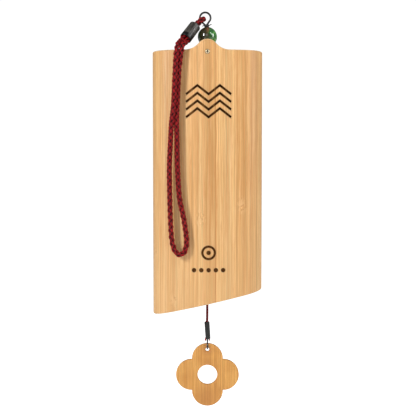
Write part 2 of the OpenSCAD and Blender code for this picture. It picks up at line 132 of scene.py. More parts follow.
def build(name, points, faces, material, uvs=None, sharp=0, depth=None):
    """A mesh piece from points in millimetres; uvs has one pair per point, depth one number per point."""
    mesh = bpy.data.meshes.new(name)
    mesh.from_pydata([tuple(p) for p in np.asarray(points) * MM], [], faces)
    if uvs is not None:
        layer = mesh.uv_layers.new(name="UVMap")
        index = np.zeros(len(mesh.loops), np.int32)
        mesh.loops.foreach_get("vertex_index", index)
        layer.data.foreach_set("uv", np.asarray(uvs, np.float32)[index].ravel())
    if depth is not None:
        layer = mesh.attributes.new("depth", "FLOAT", "POINT")
        layer.data.foreach_set("value", np.asarray(depth, np.float32))
    mesh.materials.append(material)
    mesh.polygons.foreach_set("use_smooth", [True] * len(mesh.polygons))
    mesh.update()
    if sharp:
        mesh.set_sharp_from_angle(angle=math.radians(sharp))
    return put_in_scene(name, mesh)


def grid_faces(rings, sides, closed):
    """Quads between rings of points; a closed path joins its last ring to its first."""
    faces = []
    for i in range(rings if closed else rings - 1):
        here, there = i * sides, ((i + 1) % rings) * sides
        for j in range(sides):
            k = (j + 1) % sides
            faces.append((here + j, here + k, there + k, there + j))
    return faces


def smooth_path(points, step, closed=False):
    """A smooth curve through the points, cut into even steps."""
    p = np.asarray(points, float)
    n = len(p)
    fine = []
    for i in range(n if closed else n - 1):
        if closed:
            a, b, c, d = p[i - 1], p[i], p[(i + 1) % n], p[(i + 2) % n]
        else:
            a, b, c, d = p[max(i - 1, 0)], p[i], p[i + 1], p[min(i + 2, n - 1)]
        for t in np.linspace(0, 1, 24, endpoint=False):
            fine.append(0.5 * (2 * b + (c - a) * t + (2 * a - 5 * b + 4 * c - d) * t ** 2
                               + (3 * b - a - 3 * c + d) * t ** 3))
    fine.append(p[0] if closed else p[-1])
    fine = np.array(fine)
    along = np.concatenate([[0], np.cumsum(np.linalg.norm(np.diff(fine, axis=0), axis=1))])
    count = max(4, int(round(along[-1] / step)))
    wanted = np.linspace(0, along[-1], count + 1)
    even = np.stack([np.interp(wanted, along, fine[:, k]) for k in range(3)], axis=1)
    if closed:
        return even[:-1], along[-1]
    return even, along[-1]


def path_frames(p, closed=False):
    """Two directions across a path that turn as little as they can."""
    if closed:
        t = np.roll(p, -1, axis=0) - np.roll(p, 1, axis=0)
    else:
        t = np.gradient(p, axis=0)
    t = t / np.linalg.norm(t, axis=1)[:, None]
    start = np.array([0.0, 1.0, 0.0]) if abs(t[0][1]) < 0.9 else np.array([1.0, 0.0, 0.0])
    u = [unit(start - start.dot(t[0]) * t[0])]
    for i in range(1, len(p)):
        last = u[-1] - u[-1].dot(t[i]) * t[i]
        u.append(unit(last))
    u = np.array(u)
    v = np.cross(t, u)
    if closed:
        end = unit(u[-1] - u[-1].dot(t[0]) * t[0])
        miss = math.atan2(end.dot(v[0]), end.dot(u[0]))
        turn = -miss * np.arange(len(p)) / len(p)
        u, v = (u * np.cos(turn)[:, None] + v * np.sin(turn)[:, None],
                v * np.cos(turn)[:, None] - u * np.sin(turn)[:, None])
    return u, v


def sweep(path, across, beside, half_across, half_beside, sides, closed, along):
    """Points, faces and uvs of a round or oval tube; capped with a rounded tip when it is open."""
    n = len(path)
    angles = np.arange(sides) * 2 * math.pi / sides
    size = np.ones(n)
    if not closed:
        size[0] = size[-1] = 0.55
    ha = np.broadcast_to(half_across, (n,)) * size
    hb = np.broadcast_to(half_beside, (n,)) * size
    points = (path[:, None, :] + across[:, None, :] * (ha[:, None] * np.cos(angles))[:, :, None]
              + beside[:, None, :] * (hb[:, None] * np.sin(angles))[:, :, None]).reshape(-1, 3)
    faces = grid_faces(n, sides, closed)
    if not closed:
        faces.append(tuple(reversed(range(sides))))
        faces.append(tuple(range((n - 1) * sides, n * sides)))
    uvs = np.stack([np.tile(angles / (2 * math.pi), n), np.repeat(along, sides)], axis=1)
    return points, faces, uvs


def join_parts(parts):
    """One list of points, faces and uvs from several."""
    points, faces, uvs, base = [], [], [], 0
    for part_points, part_faces, part_uvs in parts:
        points.append(part_points)
        uvs.append(part_uvs)
        faces += [tuple(i + base for i in f) for f in part_faces]
        base += len(part_points)
    return np.concatenate(points), faces, np.concatenate(uvs)


def round_tube(points, r, step=0.5, sides=14, closed=False):
    """Parts of a round tube of radius r through the points."""
    path, length = smooth_path(points, step, closed)
    u, v = path_frames(path, closed)
    along = np.arange(len(path)) * length / len(path)
    return sweep(path, u, v, r, r, sides, closed, along)


def braid(path, length, closed, radius, pitch, thick, wide, wave, sides=8):
    """Parts of a round braid, whose carriers run both ways over and under each other, and their depths."""
    turns = max(1, round(length / pitch))
    pitch = length / turns if closed else pitch
    u, v = path_frames(path, closed)
    s = np.arange(len(path)) * length / (len(path) if closed else len(path) - 1)
    parts, depths = [], []
    for way in (1, -1):
        for j in range(CARRIERS):
            angle = way * 2 * math.pi * s / pitch + 2 * math.pi * j / CARRIERS
            out = u * np.cos(angle)[:, None] + v * np.sin(angle)[:, None]
            rho = radius - wave - thick + way * wave * np.cos(2 * CARRIERS * math.pi * s / pitch)
            line = path + out * rho[:, None]
            if closed:
                run = np.roll(line, -1, axis=0) - np.roll(line, 1, axis=0)
            else:
                run = np.gradient(line, axis=0)
            side = np.cross(run, out)
            side = side / np.linalg.norm(side, axis=1)[:, None]
            parts.append(sweep(line, out, side, thick, wide, sides, closed, s + 40 * j))
            # depth numbers for painted shade: low where a carrier dips under the others and towards its sides
            lift = (rho - (radius - 2 * wave - thick)) / (2 * wave)
            rim = 0.5 + 0.5 * np.cos(np.arange(sides) * 2 * math.pi / sides)
            depths.append((lift[:, None] * 0.75 + rim[None, :] * 0.25).ravel())
    return parts, np.concatenate(depths)


def build_parts(name, parts, material, depth=None):
    """A mesh piece from several parts."""
    points, faces, uvs = join_parts(parts)
    return build(name, points, faces, material, uvs, depth=depth)


def face_outwards(piece):
    """Turns every face of a piece outwards."""
    mesh = bmesh.new()
    mesh.from_mesh(piece.data)
    bmesh.ops.recalc_face_normals(mesh, faces=mesh.faces)
    mesh.to_mesh(piece.data)
    mesh.free()


def seat(piece, body, node=None):
    """The piece rides on a body and, where it has one, takes its CAD node's place."""
    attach(piece, body)
    if node:
        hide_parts(node)


def bake(piece):
    """Turns a piece's modifiers into plain mesh."""
    graph = bpy.context.evaluated_depsgraph_get()
    mesh = bpy.data.meshes.new_from_object(piece.evaluated_get(graph))
    piece.modifiers.clear()
    piece.data = mesh


def settle(piece):
    """Flat faces keep flat shading beside their rounded edges."""
    piece.modifiers.new("weighted", "WEIGHTED_NORMAL").keep_sharp = True


# ---------------------------------------------------------------- material helpers

def tone(r, g, b):
    """Linear colour of a screen colour in steps of 0 to 255."""
    def channel(c):
        c = c / 255
        return c / 12.92 if c <= 0.04045 else ((c + 0.055) / 1.055) ** 2.4
    return (channel(r), channel(g), channel(b), 1.0)


class Shader:
    """A material whose nodes are written as plain expressions."""

    def __init__(self, name, roughness=0.5, **inputs):
        self.material = bpy.data.materials.new(name)
        self.material.use_nodes = True
        self.tree = self.material.node_tree
        self.surface = self.tree.nodes["Principled BSDF"]
        self.put("Roughness", roughness)
        for key, value in inputs.items():
            self.put(key.replace("_", " "), value)

    def put(self, socket, value):
        self._feed(self.surface.inputs[socket], value)

    def _feed(self, socket, value):
        if isinstance(value, bpy.types.NodeSocket):
            self.tree.links.new(value, socket)
        elif value is not None:
            socket.default_value = value

    def node(self, kind, **settings):
        made = self.tree.nodes.new(kind)
        for key, value in settings.items():
            setattr(made, key, value)
        return made

    def place(self):
        """x, y and z on the piece, in millimetres."""
        source = self.node("ShaderNodeTexCoord").outputs["Object"]
        return self.split(self.scaled(source, (1 / MM, 1 / MM, 1 / MM)))

    def uv(self):
        source = self.node("ShaderNodeTexCoord").outputs["UV"]
        return self.split(source)

    def scaled(self, vector, factors):
        made = self.node("ShaderNodeVectorMath", operation="MULTIPLY")
        self._feed(made.inputs[0], vector)
        made.inputs[1].default_value = factors
        return made.outputs[0]

    def split(self, vector):
        made = self.node("ShaderNodeSeparateXYZ")
        self._feed(made.inputs[0], vector)
        return made.outputs[0], made.outputs[1], made.outputs[2]

    def vector(self, x, y, z):
        made = self.node("ShaderNodeCombineXYZ")
        for socket, value in zip(made.inputs, (x, y, z)):
            self._feed(socket, value)
        return made.outputs[0]

    def math(self, operation, a, b=0.0, c=0.0, clamp=False):
        made = self.node("ShaderNodeMath", operation=operation, use_clamp=clamp)
        for socket, value in zip(made.inputs, (a, b, c)):
            self._feed(socket, value)
        return made.outputs[0]

    def add(self, a, b):
        return self.math("ADD", a, b)

    def minus(self, a, b):
        return self.math("SUBTRACT", a, b)

    def times(self, a, b):
        return self.math("MULTIPLY", a, b)

    def away(self, a, b):
        """Distance between two values."""
        return self.math("ABSOLUTE", self.minus(a, b))

    def noise(self, place, stretch=(1, 1, 1), detail=3.0, roughness=0.5, distortion=0.0, scale=1.0):
        """Noise over a place of three values, each stretched by its own factor."""
        axes = [axis if factor == 1 else self.times(axis, factor) for axis, factor in zip(place, stretch)]
        made = self.node("ShaderNodeTexNoise")
        self._feed(made.inputs["Vector"], self.vector(*axes))
        for key, number in (("Scale", scale), ("Detail", detail), ("Roughness", roughness),
                            ("Distortion", distortion)):
            made.inputs[key].default_value = number
        return made.outputs["Fac"]

    def span(self, value, low, high, to_low=0.0, to_high=1.0):
        """Value from low..high brought to to_low..to_high, and held there."""
        made = self.node("ShaderNodeMapRange", clamp=True)
        for key, number in (("Value", value), ("From Min", low), ("From Max", high),
                            ("To Min", to_low), ("To Max", to_high)):
            self._feed(made.inputs[key], number)
        return made.outputs[0]

    def ramp(self, value, stops, steps=False):
        """Colour at a place between 0 and 1; stops are (place, colour)."""
        made = self.node("ShaderNodeValToRGB")
        made.color_ramp.interpolation = "CONSTANT" if steps else "LINEAR"
        elements = made.color_ramp.elements
        while len(elements) < len(stops):
            elements.new(1.0)
        for element, (position, colour) in zip(elements, stops):
            element.position = position
            element.color = colour
        self._feed(made.inputs[0], value)
        return made.outputs[0]

    def mix(self, factor, a, b, blend="MIX"):
        """Two colours mixed; sockets 6, 7 and 2 are the node's colour ones."""
        made = self.node("ShaderNodeMix", data_type="RGBA", blend_type=blend, clamp_factor=True)
        self._feed(made.inputs[0], factor)
        self._feed(made.inputs[6], a)
        self._feed(made.inputs[7], b)
        return made.outputs[2]

    def shade(self, colour, factor):
        """Colour made darker or lighter by a factor round 1."""
        grey = self.vector(factor, factor, factor)
        return self.mix(1.0, colour, grey, "MULTIPLY")

    def bump(self, height, distance, strength=1.0):
        made = self.node("ShaderNodeBump")
        self._feed(made.inputs["Height"], height)
        made.inputs["Distance"].default_value = distance * MM
        made.inputs["Strength"].default_value = strength
        self.put("Normal", made.outputs[0])


# ---------------------------------------------------------------- bamboo

# The body's glued strips come in four tones of bamboo
CREAM, STRAW, HONEY, AMBER = (240, 194, 130), (230, 186, 126), (230, 180, 116), (222, 172, 108)
# Left edge of each strip, as arc length from the middle of the front, and its tone
FACE_STRIPS = [
    (-70, STRAW), (-49, STRAW), (-41, AMBER), (-33.5, STRAW), (-17.5, HONEY), (-9, CREAM),
    (-3, AMBER), (8.5, CREAM), (17, STRAW), (23.5, CREAM), (29, AMBER), (37.5, HONEY),
    (44, AMBER), (52, CREAM), (62, HONEY), (76, STRAW), (92, AMBER), (104, HONEY),
    (121, AMBER), (138, STRAW), (152, HONEY), (170, STRAW), (188, AMBER)]
ARC_LOW, ARC_HIGH = -70.0, 210.0
# Knuckles of the cane: arc length, height, half width, half height
KNUCKLES = [(-6.9, -200, 5.0, 7.0), (34.8, -187, 4.5, 8.0), (-34.2, -281, 3.5, 7.0), (-56.0, -235, 4.0, 7.0),
            (66.0, -120, 4.0, 7.0), (99.0, -215, 5.0, 8.0), (145.0, -140, 5.0, 7.0), (178.0, -75, 5.0, 7.0)]
# Long orange lines seen between strips: arc length and strength
DARK_LINES = [(-48.2, 0.35), (-33.6, 0.2), (-3.2, 0.5), (2.2, 0.3), (8.3, 0.6), (29.0, 0.4), (36.2, 0.25),
              (44.0, 0.3)]


def highest(shader, values):
    """The largest of several shader values."""
    top = values[0]
    for value in values[1:]:
        top = shader.math("MAXIMUM", top, value)
    return top


def strip_colour(shader, arc):
    place = shader.span(arc, ARC_LOW, ARC_HIGH)
    stops = [((edge - ARC_LOW) / (ARC_HIGH - ARC_LOW), tone(*colour)) for edge, colour in FACE_STRIPS]
    return shader.ramp(place, stops, steps=True)


def off_centre(shader, a, b, centre_a, centre_b, half_a, half_b):
    """Distance from a centre, as a share of an oval's half width and half height."""
    da = shader.times(shader.minus(a, centre_a), 1 / half_a)
    db = shader.times(shader.minus(b, centre_b), 1 / half_b)
    return shader.math("SQRT", shader.add(shader.times(da, da), shader.times(db, db)))


def fibres(shader, x, z, seed):
    """Fine upright fibres, broad streaks, long thin lines and short dark dashes, each 0 to 1."""
    fine = shader.noise((x, seed, z), (1.15, 1, 0.012), 4.0, 0.75)
    broad = shader.noise((x, seed, z), (0.4, 1, 0.005), 3.0, 0.6)
    thin = shader.noise((x, 7.0, z), (0.5, 1, 0.003), 5.0, 0.8)
    lines = shader.span(shader.away(thin, 0.5), 0.0, 0.045, 1.0, 0.0)
    dashes = shader.span(shader.noise((x, seed, z), (1.2, 1, 0.05), 3.0, 0.65), 0.60, 0.70)
    return shader.span(fine, 0.36, 0.64), shader.span(broad, 0.36, 0.64), lines, dashes


def distance(shader, a, b, centre_a, centre_b):
    return off_centre(shader, a, b, centre_a, centre_b, 1.0, 1.0)


def burn_distance(shader, x, z):
    """Distance from the edge of the nearest burned mark, on the front of the body."""
    slope = ZIG_H / ZIG_LEG
    along = shader.math("PINGPONG", shader.add(x, 2 * ZIG_LEG - ZIG_X - AXIS), ZIG_LEG)
    height = shader.minus(shader.add(z, ZIG_H - ZIG_TOP), shader.times(along, slope))
    inside = shader.math("WRAP", height, ZIG_PITCH / 2, -ZIG_PITCH / 2)
    line = shader.times(shader.math("ABSOLUTE", inside), math.cos(math.atan(slope)))
    middle = shader.add(height, (ZIG_ROWS - 1) * ZIG_PITCH / 2)
    beyond_z = shader.minus(shader.math("ABSOLUTE", middle), ZIG_ROWS * ZIG_PITCH / 2)
    beyond_x = shader.minus(shader.away(x, ZIG_X + AXIS), 2 * ZIG_LEG - BURN_LINE / 2)
    line = highest(shader, [line, shader.times(beyond_z, 4.0), beyond_x])
    line = shader.minus(line, BURN_LINE / 2)
    out = distance(shader, x, z, ORNAMENT_X + AXIS, ORNAMENT_Z)
    ring = shader.minus(shader.away(out, RING_R - BURN_LINE / 2), BURN_LINE / 2)
    dot = shader.minus(out, DOT_R)
    step = shader.math("WRAP", shader.add(x, -ORNAMENT_X - AXIS), DOT_PITCH / 2, -DOT_PITCH / 2)
    row = distance(shader, step, z, 0.0, ORNAMENT_Z - DOT_DROP)
    beyond_x = shader.minus(shader.away(x, ORNAMENT_X + AXIS), DOTS * DOT_PITCH / 2)
    row = shader.math("MAXIMUM", shader.minus(row, DOT_R), beyond_x)
    return shader.math("MINIMUM", shader.math("MINIMUM", line, ring), shader.math("MINIMUM", dot, row))


def bamboo_body():
    shader = Shader("bamboo", 0.42, Coat_Weight=0.10, Coat_Roughness=0.3)
    arc, height, _ = shader.uv()
    x, y, z = shader.place()
    knots = highest(shader, [shader.span(off_centre(shader, arc, height, *knuckle), 0.1, 1.3, 1.0, 0.0)
                             for knuckle in KNUCKLES])
    swirl = shader.noise((arc, 0.0, height), (0.22, 1, 0.12), 2.0)
    wobble = shader.noise((0.0, 0.0, height), (1, 1, 0.02), 2.0)
    arc = shader.add(arc, shader.times(shader.add(wobble, -0.5), 1.8))
    bent = shader.add(arc, shader.times(shader.times(shader.add(swirl, -0.5), knots), 16.0))
    colour = strip_colour(shader, arc)
    fine, broad, lines, dashes = fibres(shader, bent, height, shader.times(colour, 3.0))
    colour = shader.shade(colour, shader.span(broad, 0.0, 1.0, 0.88, 1.10))
    colour = shader.shade(colour, shader.span(fine, 0.0, 1.0, 0.82, 1.13))
    colour = shader.mix(shader.span(fine, 0.6, 1.0, 0.0, 0.35), colour, tone(244, 208, 164))
    colour = shader.mix(shader.times(lines, 0.75), colour, tone(208, 136, 68))
    colour = shader.mix(shader.times(dashes, 0.35), colour, tone(186, 122, 66))
    low = shader.span(height, -170.0, -290.0)
    colour = shader.mix(shader.times(low, 0.30), colour, tone(242, 194, 134))
    flare = shader.times(knots, shader.span(swirl, 0.42, 0.56, 0.0, 0.6))
    colour = shader.mix(flare, colour, tone(240, 196, 138))
    edge = shader.span(shader.away(swirl, 0.44), 0.0, 0.035, 0.8, 0.0)
    colour = shader.mix(shader.times(knots, edge), colour, tone(186, 126, 70))
    marks = [shader.span(shader.away(arc, place), 0.1, 0.75, strength, 0.0) for place, strength in DARK_LINES]
    marks += [shader.span(shader.away(arc, place), 0.1, 0.3, 0.22, 0.0) for place, _ in FACE_STRIPS[1:]]
    glue = highest(shader, marks)
    colour = shader.mix(glue, colour, tone(192, 122, 62))
    # scorched edges of the burned marks
    scorch = shader.span(burn_distance(shader, x, z), 0.0, 0.6, 0.55, 0.0)
    scorch = shader.times(scorch, shader.math("LESS_THAN", y, 0.0))
    colour = shader.mix(scorch, colour, tone(122, 74, 34))
    # the seam between the two halves, and the bare end grain on the lips, made paler still as a painted
    # highlight where the lips catch the light
    seam = shader.span(shader.math("ABSOLUTE", y), 0.05, 0.35, 0.55, 0.0)
    colour = shader.mix(seam, colour, tone(150, 100, 58))
    normal = shader.node("ShaderNodeNewGeometry").outputs["True Normal"]
    lip = shader.span(shader.math("ABSOLUTE", shader.split(normal)[2]), 0.30, 0.75, 0.0, 0.8)
    pores = shader.noise((x, y, 0.0), (2.2, 2.2, 1), 3.0, 0.6)
    # pale end grain, also a painted highlight on the lips
    end_grain_and_highlight = shader.mix(shader.span(pores, 0.5, 0.7), tone(255, 224, 174), tone(222, 176, 120))
    colour = shader.mix(lip, colour, end_grain_and_highlight)
    shader.put("Base Color", colour)
    shader.put("Roughness", shader.span(fine, 0.0, 1.0, 0.36, 0.5))
    relief = shader.add(shader.times(fine, 0.6), shader.times(shader.add(dashes, lines), -0.4))
    shader.bump(shader.add(relief, shader.times(glue, -0.5)), 0.06)
    return shader.material


def burned():
    """Scorched wood: darkest at the turns of the zigzag, brown along its legs."""
    shader = Shader("burned_bamboo", 0.85, Specular_IOR_Level=0.1)
    x, y, z = shader.place()
    leg = shader.math("PINGPONG", shader.add(x, -(AXIS + ZIG_X) + 4 * ZIG_LEG), ZIG_LEG / 2)
    noise = shader.noise((x, y, z), (1.4, 1, 0.15), 4.0, 0.6, scale=0.8)
    upper = shader.span(z, -200.0, -150.0)
    heat = shader.times(shader.span(leg, 0.0, ZIG_LEG / 2, 0.0, 0.55), upper)
    heat = shader.add(heat, shader.span(noise, 0.35, 0.65, -0.2, 0.25))
    left = shader.times(shader.span(x, AXIS + ZIG_X + ZIG_LEG, AXIS + ZIG_X - 2 * ZIG_LEG), 0.2)
    heat = shader.add(heat, shader.add(left, shader.span(z, -150.0, -200.0, 0.0, 0.45)))
    colour = shader.ramp(heat, [(0.0, tone(24, 11, 3)), (0.45, tone(66, 38, 14)), (1.0, tone(128, 84, 42))])
    shader.put("Base Color", colour)
    shader.bump(shader.noise((x, y, z), (1, 1, 0.4), 4.0, scale=2.5), 0.12)
    return shader.material


def dark_bamboo(name, pale, deep, cross=False):
    """Caramel bamboo with fine upright strips; cross turns the grain to run along Y."""
    shader = Shader(name, 0.45, Coat_Weight=0.15, Coat_Roughness=0.3)
    x, y, z = shader.place()
    along, over = (y, z) if cross else (z, shader.times(y, 0.7))
    strips = shader.noise((x, over, 0.0), (0.55, 0.5, 1), 1.0)
    fine, broad, lines, dashes = fibres(shader, shader.add(x, shader.times(over, 0.6)), along, 0.0)
    cloud = shader.noise((x, 0.0, along), (0.06, 1, 0.05), 2.0)
    blend = shader.add(shader.span(strips, 0.35, 0.65, 0.0, 0.45), shader.span(broad, 0.0, 1.0, -0.1, 0.35))
    blend = shader.add(blend, shader.span(cloud, 0.35, 0.65, -0.1, 0.3))
    colour = shader.mix(blend, pale, deep)
    colour = shader.shade(colour, shader.span(fine, 0.0, 1.0, 0.86, 1.1))
    colour = shader.mix(shader.times(lines, 0.5), colour, tone(184, 108, 44))
    colour = shader.mix(shader.times(dashes, 0.4), colour, tone(132, 82, 38))
    shader.put("Roughness", shader.span(fine, 0.0, 1.0, 0.38, 0.55))
    shader.bump(shader.add(fine, shader.times(dashes, -0.6)), 0.08)
    return shader, colour


def sail_bamboo():
    """Darker round the small hole, above and below the middle hole and in the lower lobe."""
    shader, colour = dark_bamboo("sail_bamboo", tone(240, 182, 98), tone(206, 141, 62))
    x, _, z = shader.place()
    spots = []
    for rise, near, far, depth in ((25.9, 3.0, 9.0, 0.55), (13, 2.0, 9.0, 0.35),
                                   (-13, 2.0, 8.0, 0.35), (-24, 6.0, 18.0, 0.5)):
        out = distance(shader, x, z, AXIS, SAIL_Z + rise)
        spots.append(shader.span(out, near, far, depth, 0.0))
    shader.put("Base Color", shader.mix(highest(shader, spots), colour, tone(188, 120, 58)))
    return shader.material


def plain_dark_bamboo():
    shader, colour = dark_bamboo("dark_bamboo", tone(206, 150, 86), tone(176, 116, 60), cross=True)
    shader.put("Base Color", colour)
    return shader.material


def board_bamboo():
    shader, colour = dark_bamboo("board_bamboo", tone(226, 184, 128), tone(206, 158, 100), cross=True)
    shader.put("Base Color", colour)
    return shader.material


# ---------------------------------------------------------------- cord, glass, metal, thread

def cord_material(name, base, deep, flecks=0.0, valley_shade=0.05):
    """Braided polyester: filaments along each carrier, a soft sheen, painted shade in the valleys between
    carriers and on their sides.
    """
    shader = Shader(name, 0.6, Specular_IOR_Level=0.25)
    around, along, _ = shader.uv()
    x, y, z = shader.place()
    lines = shader.noise((around, along, 0.0), (26, 0.35, 1), 3.0, 0.6)
    patch = shader.noise((x, y, z), scale=0.25)
    colour = shader.mix(shader.span(lines, 0.32, 0.68), deep, base)
    colour = shader.shade(colour, shader.span(patch, 0.3, 0.7, 0.82, 1.15))
    if flecks:
        dots = shader.noise((x, y, z), (1.6, 1, 0.8), 2.0, 0.6)
        colour = shader.mix(shader.span(dots, 0.52, 0.58, 0.0, flecks), colour, tone(22, 12, 14))
    # painted shade in the braid's valleys and on the carriers' sides
    if valley_shade < 1:
        lift = shader.node("ShaderNodeAttribute", attribute_name="depth").outputs["Fac"]
        colour = shader.shade(colour, shader.span(lift, 0.35, 0.9, valley_shade, 1.12))
    shader.put("Base Color", colour)
    shader.bump(lines, 0.10)
    return shader.material


def speckled(name, rough, dark, pale, scale):
    """Dark and pale specks without relief."""
    shader = Shader(name, rough)
    spots = shader.noise(shader.place(), detail=2.0, scale=scale)
    shader.put("Base Color", shader.mix(spots, dark, pale))
    return shader.material


# near-black tube inside the strap's braid: painted shade seen through the gaps between the carriers
def core_shade_material():
    return speckled("cord_core_shade", 0.9, tone(30, 3, 6), tone(58, 8, 12), 1.2)


def sleeve_material(name, dark, pale, rough, shade_from):
    """Satin tube with streaks along it; black inside and beyond a distance from its top, as painted shade in
    its open lower end and under its rim.
    """
    shader = Shader(name, rough)
    around, along, _ = shader.uv()
    streaks = shader.noise((around, along, 0.0), (34, 0.10, 1), 4.0, 0.6)
    marks = shader.noise((around, along, 3.0), (9, 0.5, 1))
    colour = shader.mix(shader.span(streaks, 0.35, 0.68), dark, pale)
    colour = shader.shade(colour, shader.span(marks, 0.3, 0.7, 0.85, 1.2))
    edge = shader.add(along, shader.span(marks, 0.3, 0.7, -0.4, 0.4))
    # painted shade: the lower end turns black
    colour = shader.mix(shader.span(edge, shade_from - 0.3, shade_from + 0.3), colour, tone(8, 8, 8))
    shader.put("Base Color", colour)
    shader.put("Roughness", shader.span(marks, 0.3, 0.7, rough - 0.08, rough + 0.1))
    shader.bump(shader.add(streaks, shader.times(marks, 0.4)), 0.14)
    return shader.material


def glass_material():
    """Dark lampwork glass: black, a red-brown streak and greens, flowing round the bead; darker to the left
    as painted shade, with painted light through the glass to the lower right and on the left rim, and a
    painted glow.
    """
    shader = Shader("bead_glass", 0.12, Coat_Weight=1.0, Coat_Roughness=0.03, IOR=1.5)
    x, y, z = shader.place()
    x = shader.times(shader.minus(x, AXIS), 1 / BEAD_R)
    y = shader.times(y, 1 / BEAD_R)
    z = shader.times(shader.minus(z, BEAD_Z), 1 / BEAD_R)
    flow = shader.noise((x, y, z), (1, 1, 1), 4.0, 0.55, 1.1, scale=1.5)
    veil = shader.noise((x, y, z), (1, 2.0, 0.6), 3.0, 0.5, 2.0, scale=3.2)
    # painted light and shade: darker to the left, greener to the right
    place = shader.add(shader.times(x, 0.42), shader.span(flow, 0.25, 0.75, 0.22, 0.78))
    place = shader.add(place, shader.span(veil, 0.3, 0.7, -0.07, 0.07))
    greens = shader.ramp(place, [
        (0.0, tone(30, 30, 14)), (0.32, tone(44, 42, 20)), (0.44, tone(62, 54, 28)),
        (0.56, tone(30, 72, 34)), (0.76, tone(52, 118, 54)), (0.95, tone(104, 166, 80))])
    streak = shader.span(shader.away(shader.add(x, 0.02), shader.times(flow, 0.12)), 0.03, 0.20, 0.85, 0.0)
    streak = shader.times(streak, shader.span(z, 0.15, 0.6))
    colour = shader.mix(streak, greens, tone(120, 62, 42))
    # painted light: brighter green to the lower right
    painted_glow = shader.times(shader.span(x, 0.15, 0.6), shader.span(z, 0.05, -0.6))
    colour = shader.mix(shader.times(painted_glow, 0.7), colour, tone(92, 164, 70))
    # painted light: a green rim along the left edge
    colour = shader.mix(shader.span(x, -0.72, -0.98, 0.0, 0.8), colour, tone(44, 96, 50))
    shader.put("Base Color", colour)
    # painted glow: the glass gives off light in its own colour, stronger to the right
    shader.put("Emission Color", colour)
    shader.put("Emission Strength", shader.span(x, 0.0, 0.7, 0.12, 0.25))
    return shader.material


def wire_material():
    shader = Shader("coated_wire", 0.32)
    wear = shader.noise(shader.place(), detail=4.0, scale=1.6)
    shader.put("Base Color", shader.mix(shader.span(wear, 0.4, 0.7), tone(16, 16, 18), tone(42, 40, 40)))
    shader.put("Roughness", shader.span(wear, 0.3, 0.7, 0.26, 0.42))
    shader.bump(wear, 0.03)
    return shader.material


def thread_material():
    """Waxed thread, laid up from plies that run round it."""
    shader = Shader("waxed_thread", 0.6, Sheen_Weight=0.2)
    around, along, _ = shader.uv()
    turn = shader.add(shader.times(around, 2.0), shader.times(along, 0.75))
    plies = shader.math("PINGPONG", turn, 0.5)
    shader.put("Base Color", shader.mix(shader.span(plies, 0.1, 0.5), tone(14, 14, 15), tone(46, 44, 46)))
    shader.bump(plies, 0.25)
    return shader.material


def metal_material(name, colour, rough, spread, recess_shade=False):
    """Turned or drawn metal with faint wear; recess darkens the cross in the heads on the crossbar's line as
    painted shade, with a painted shadow ring round each head.
    """
    shader = Shader(name, rough, Metallic=0.6 if recess_shade else 1.0)
    x, y, z = shader.place()
    wear = shader.noise((x, y, z), (1, 1, 0.1), 5.0, 0.6, scale=1.1)
    colour = shader.shade(colour, shader.span(wear, 0.3, 0.7, 0.86, 1.08))
    if recess_shade:
        # painted shade in the cross recess, and a painted shadow round the head
        out = distance(shader, x, z, AXIS, CROSSBAR_Z)
        arms = shader.math("MINIMUM", shader.away(x, AXIS), shader.away(z, CROSSBAR_Z))
        cross = shader.span(arms, 0.3, 0.45, 1.0, 0.0)
        cross = shader.times(cross, shader.span(out, 1.1, 1.4, 1.0, 0.0))
        cross = shader.math("MAXIMUM", cross, shader.span(out, 1.8, 2.2, 0.0, 0.85))
        colour = shader.mix(cross, colour, tone(52, 40, 26))
    shader.put("Base Color", colour)
    shader.put("Roughness", shader.span(wear, 0.3, 0.7, rough - spread, rough + spread))
    shader.bump(wear, 0.02)
    return shader.material


# pale grey for the knot's cut end: a painted highlight on the black thread
def thread_end_highlight():
    return speckled("thread_end", 0.7, tone(110, 108, 110), tone(160, 158, 158), 2.0)


# ---------------------------------------------------------------- body shells

def section_points():
    """The front half of the body's plan: x, y, outward direction and arc length from the middle."""
    side_steps, face_steps = 18, 72
    side_angle = math.pi / 2 - FACE_ANGLE
    half_side, half_face = SIDE_R * side_angle, FACE_R * FACE_ANGLE
    # Centre, radius, first angle, angle swept, arc length at its start, steps, and which of them are used
    arcs = [
        (-SIDE_X, 0.0, SIDE_R, math.pi, side_angle, -half_face - half_side, side_steps, range(side_steps)),
        (0.0, FACE_Y, FACE_R, 1.5 * math.pi - FACE_ANGLE, 2 * FACE_ANGLE, -half_face, face_steps,
         range(face_steps + 1)),
        (SIDE_X, 0.0, SIDE_R, 1.5 * math.pi + FACE_ANGLE, side_angle, half_face, side_steps,
         range(1, side_steps + 1))]
    rows = []
    for x, y, r, start, swept, arc, steps, used in arcs:
        for i in used:
            a = start + swept * i / steps
            nx, ny = math.cos(a), math.sin(a)
            rows.append((x + r * nx, y + r * ny, nx, ny, arc + r * swept * i / steps))
    return rows


def top_height(x):
    """Height of the top edge with its hump, at a distance x from the body's axis."""
    x = abs(x)
    if x >= HUMP_HALF:
        return TOP_Z
    crown_z = HUMP_H - CROWN_R
    meet = CROWN_R * HUMP_HALF / math.hypot(HUMP_HALF, FLANK_R - crown_z)
    if x <= meet:
        return TOP_Z + crown_z + math.sqrt(CROWN_R ** 2 - x ** 2)
    return TOP_Z + FLANK_R - math.sqrt(FLANK_R ** 2 - (HUMP_HALF - x) ** 2)


def mouth_height(x):
    return MOUTH_Z + math.tan(MOUTH_SLANT) * x


def wall_profile():
    """Round the wall once: depth below the outer face, height fraction end (0 mouth, 1 top), drop from it."""
    profile = []
    steps = 4
    for i in range(steps + 1):
        a = math.pi / 2 * i / steps
        profile.append((OUTER_LIP * (1 - math.cos(a)), 1, OUTER_LIP * (1 - math.sin(a))))
    for i in range(steps, -1, -1):
        a = math.pi / 2 * i / steps
        profile.append((WALL - INNER_LIP * (1 - math.cos(a)), 1, INNER_LIP * (1 - math.sin(a))))
    return profile + [(depth, 0, drop) for depth, _, drop in reversed(profile)]


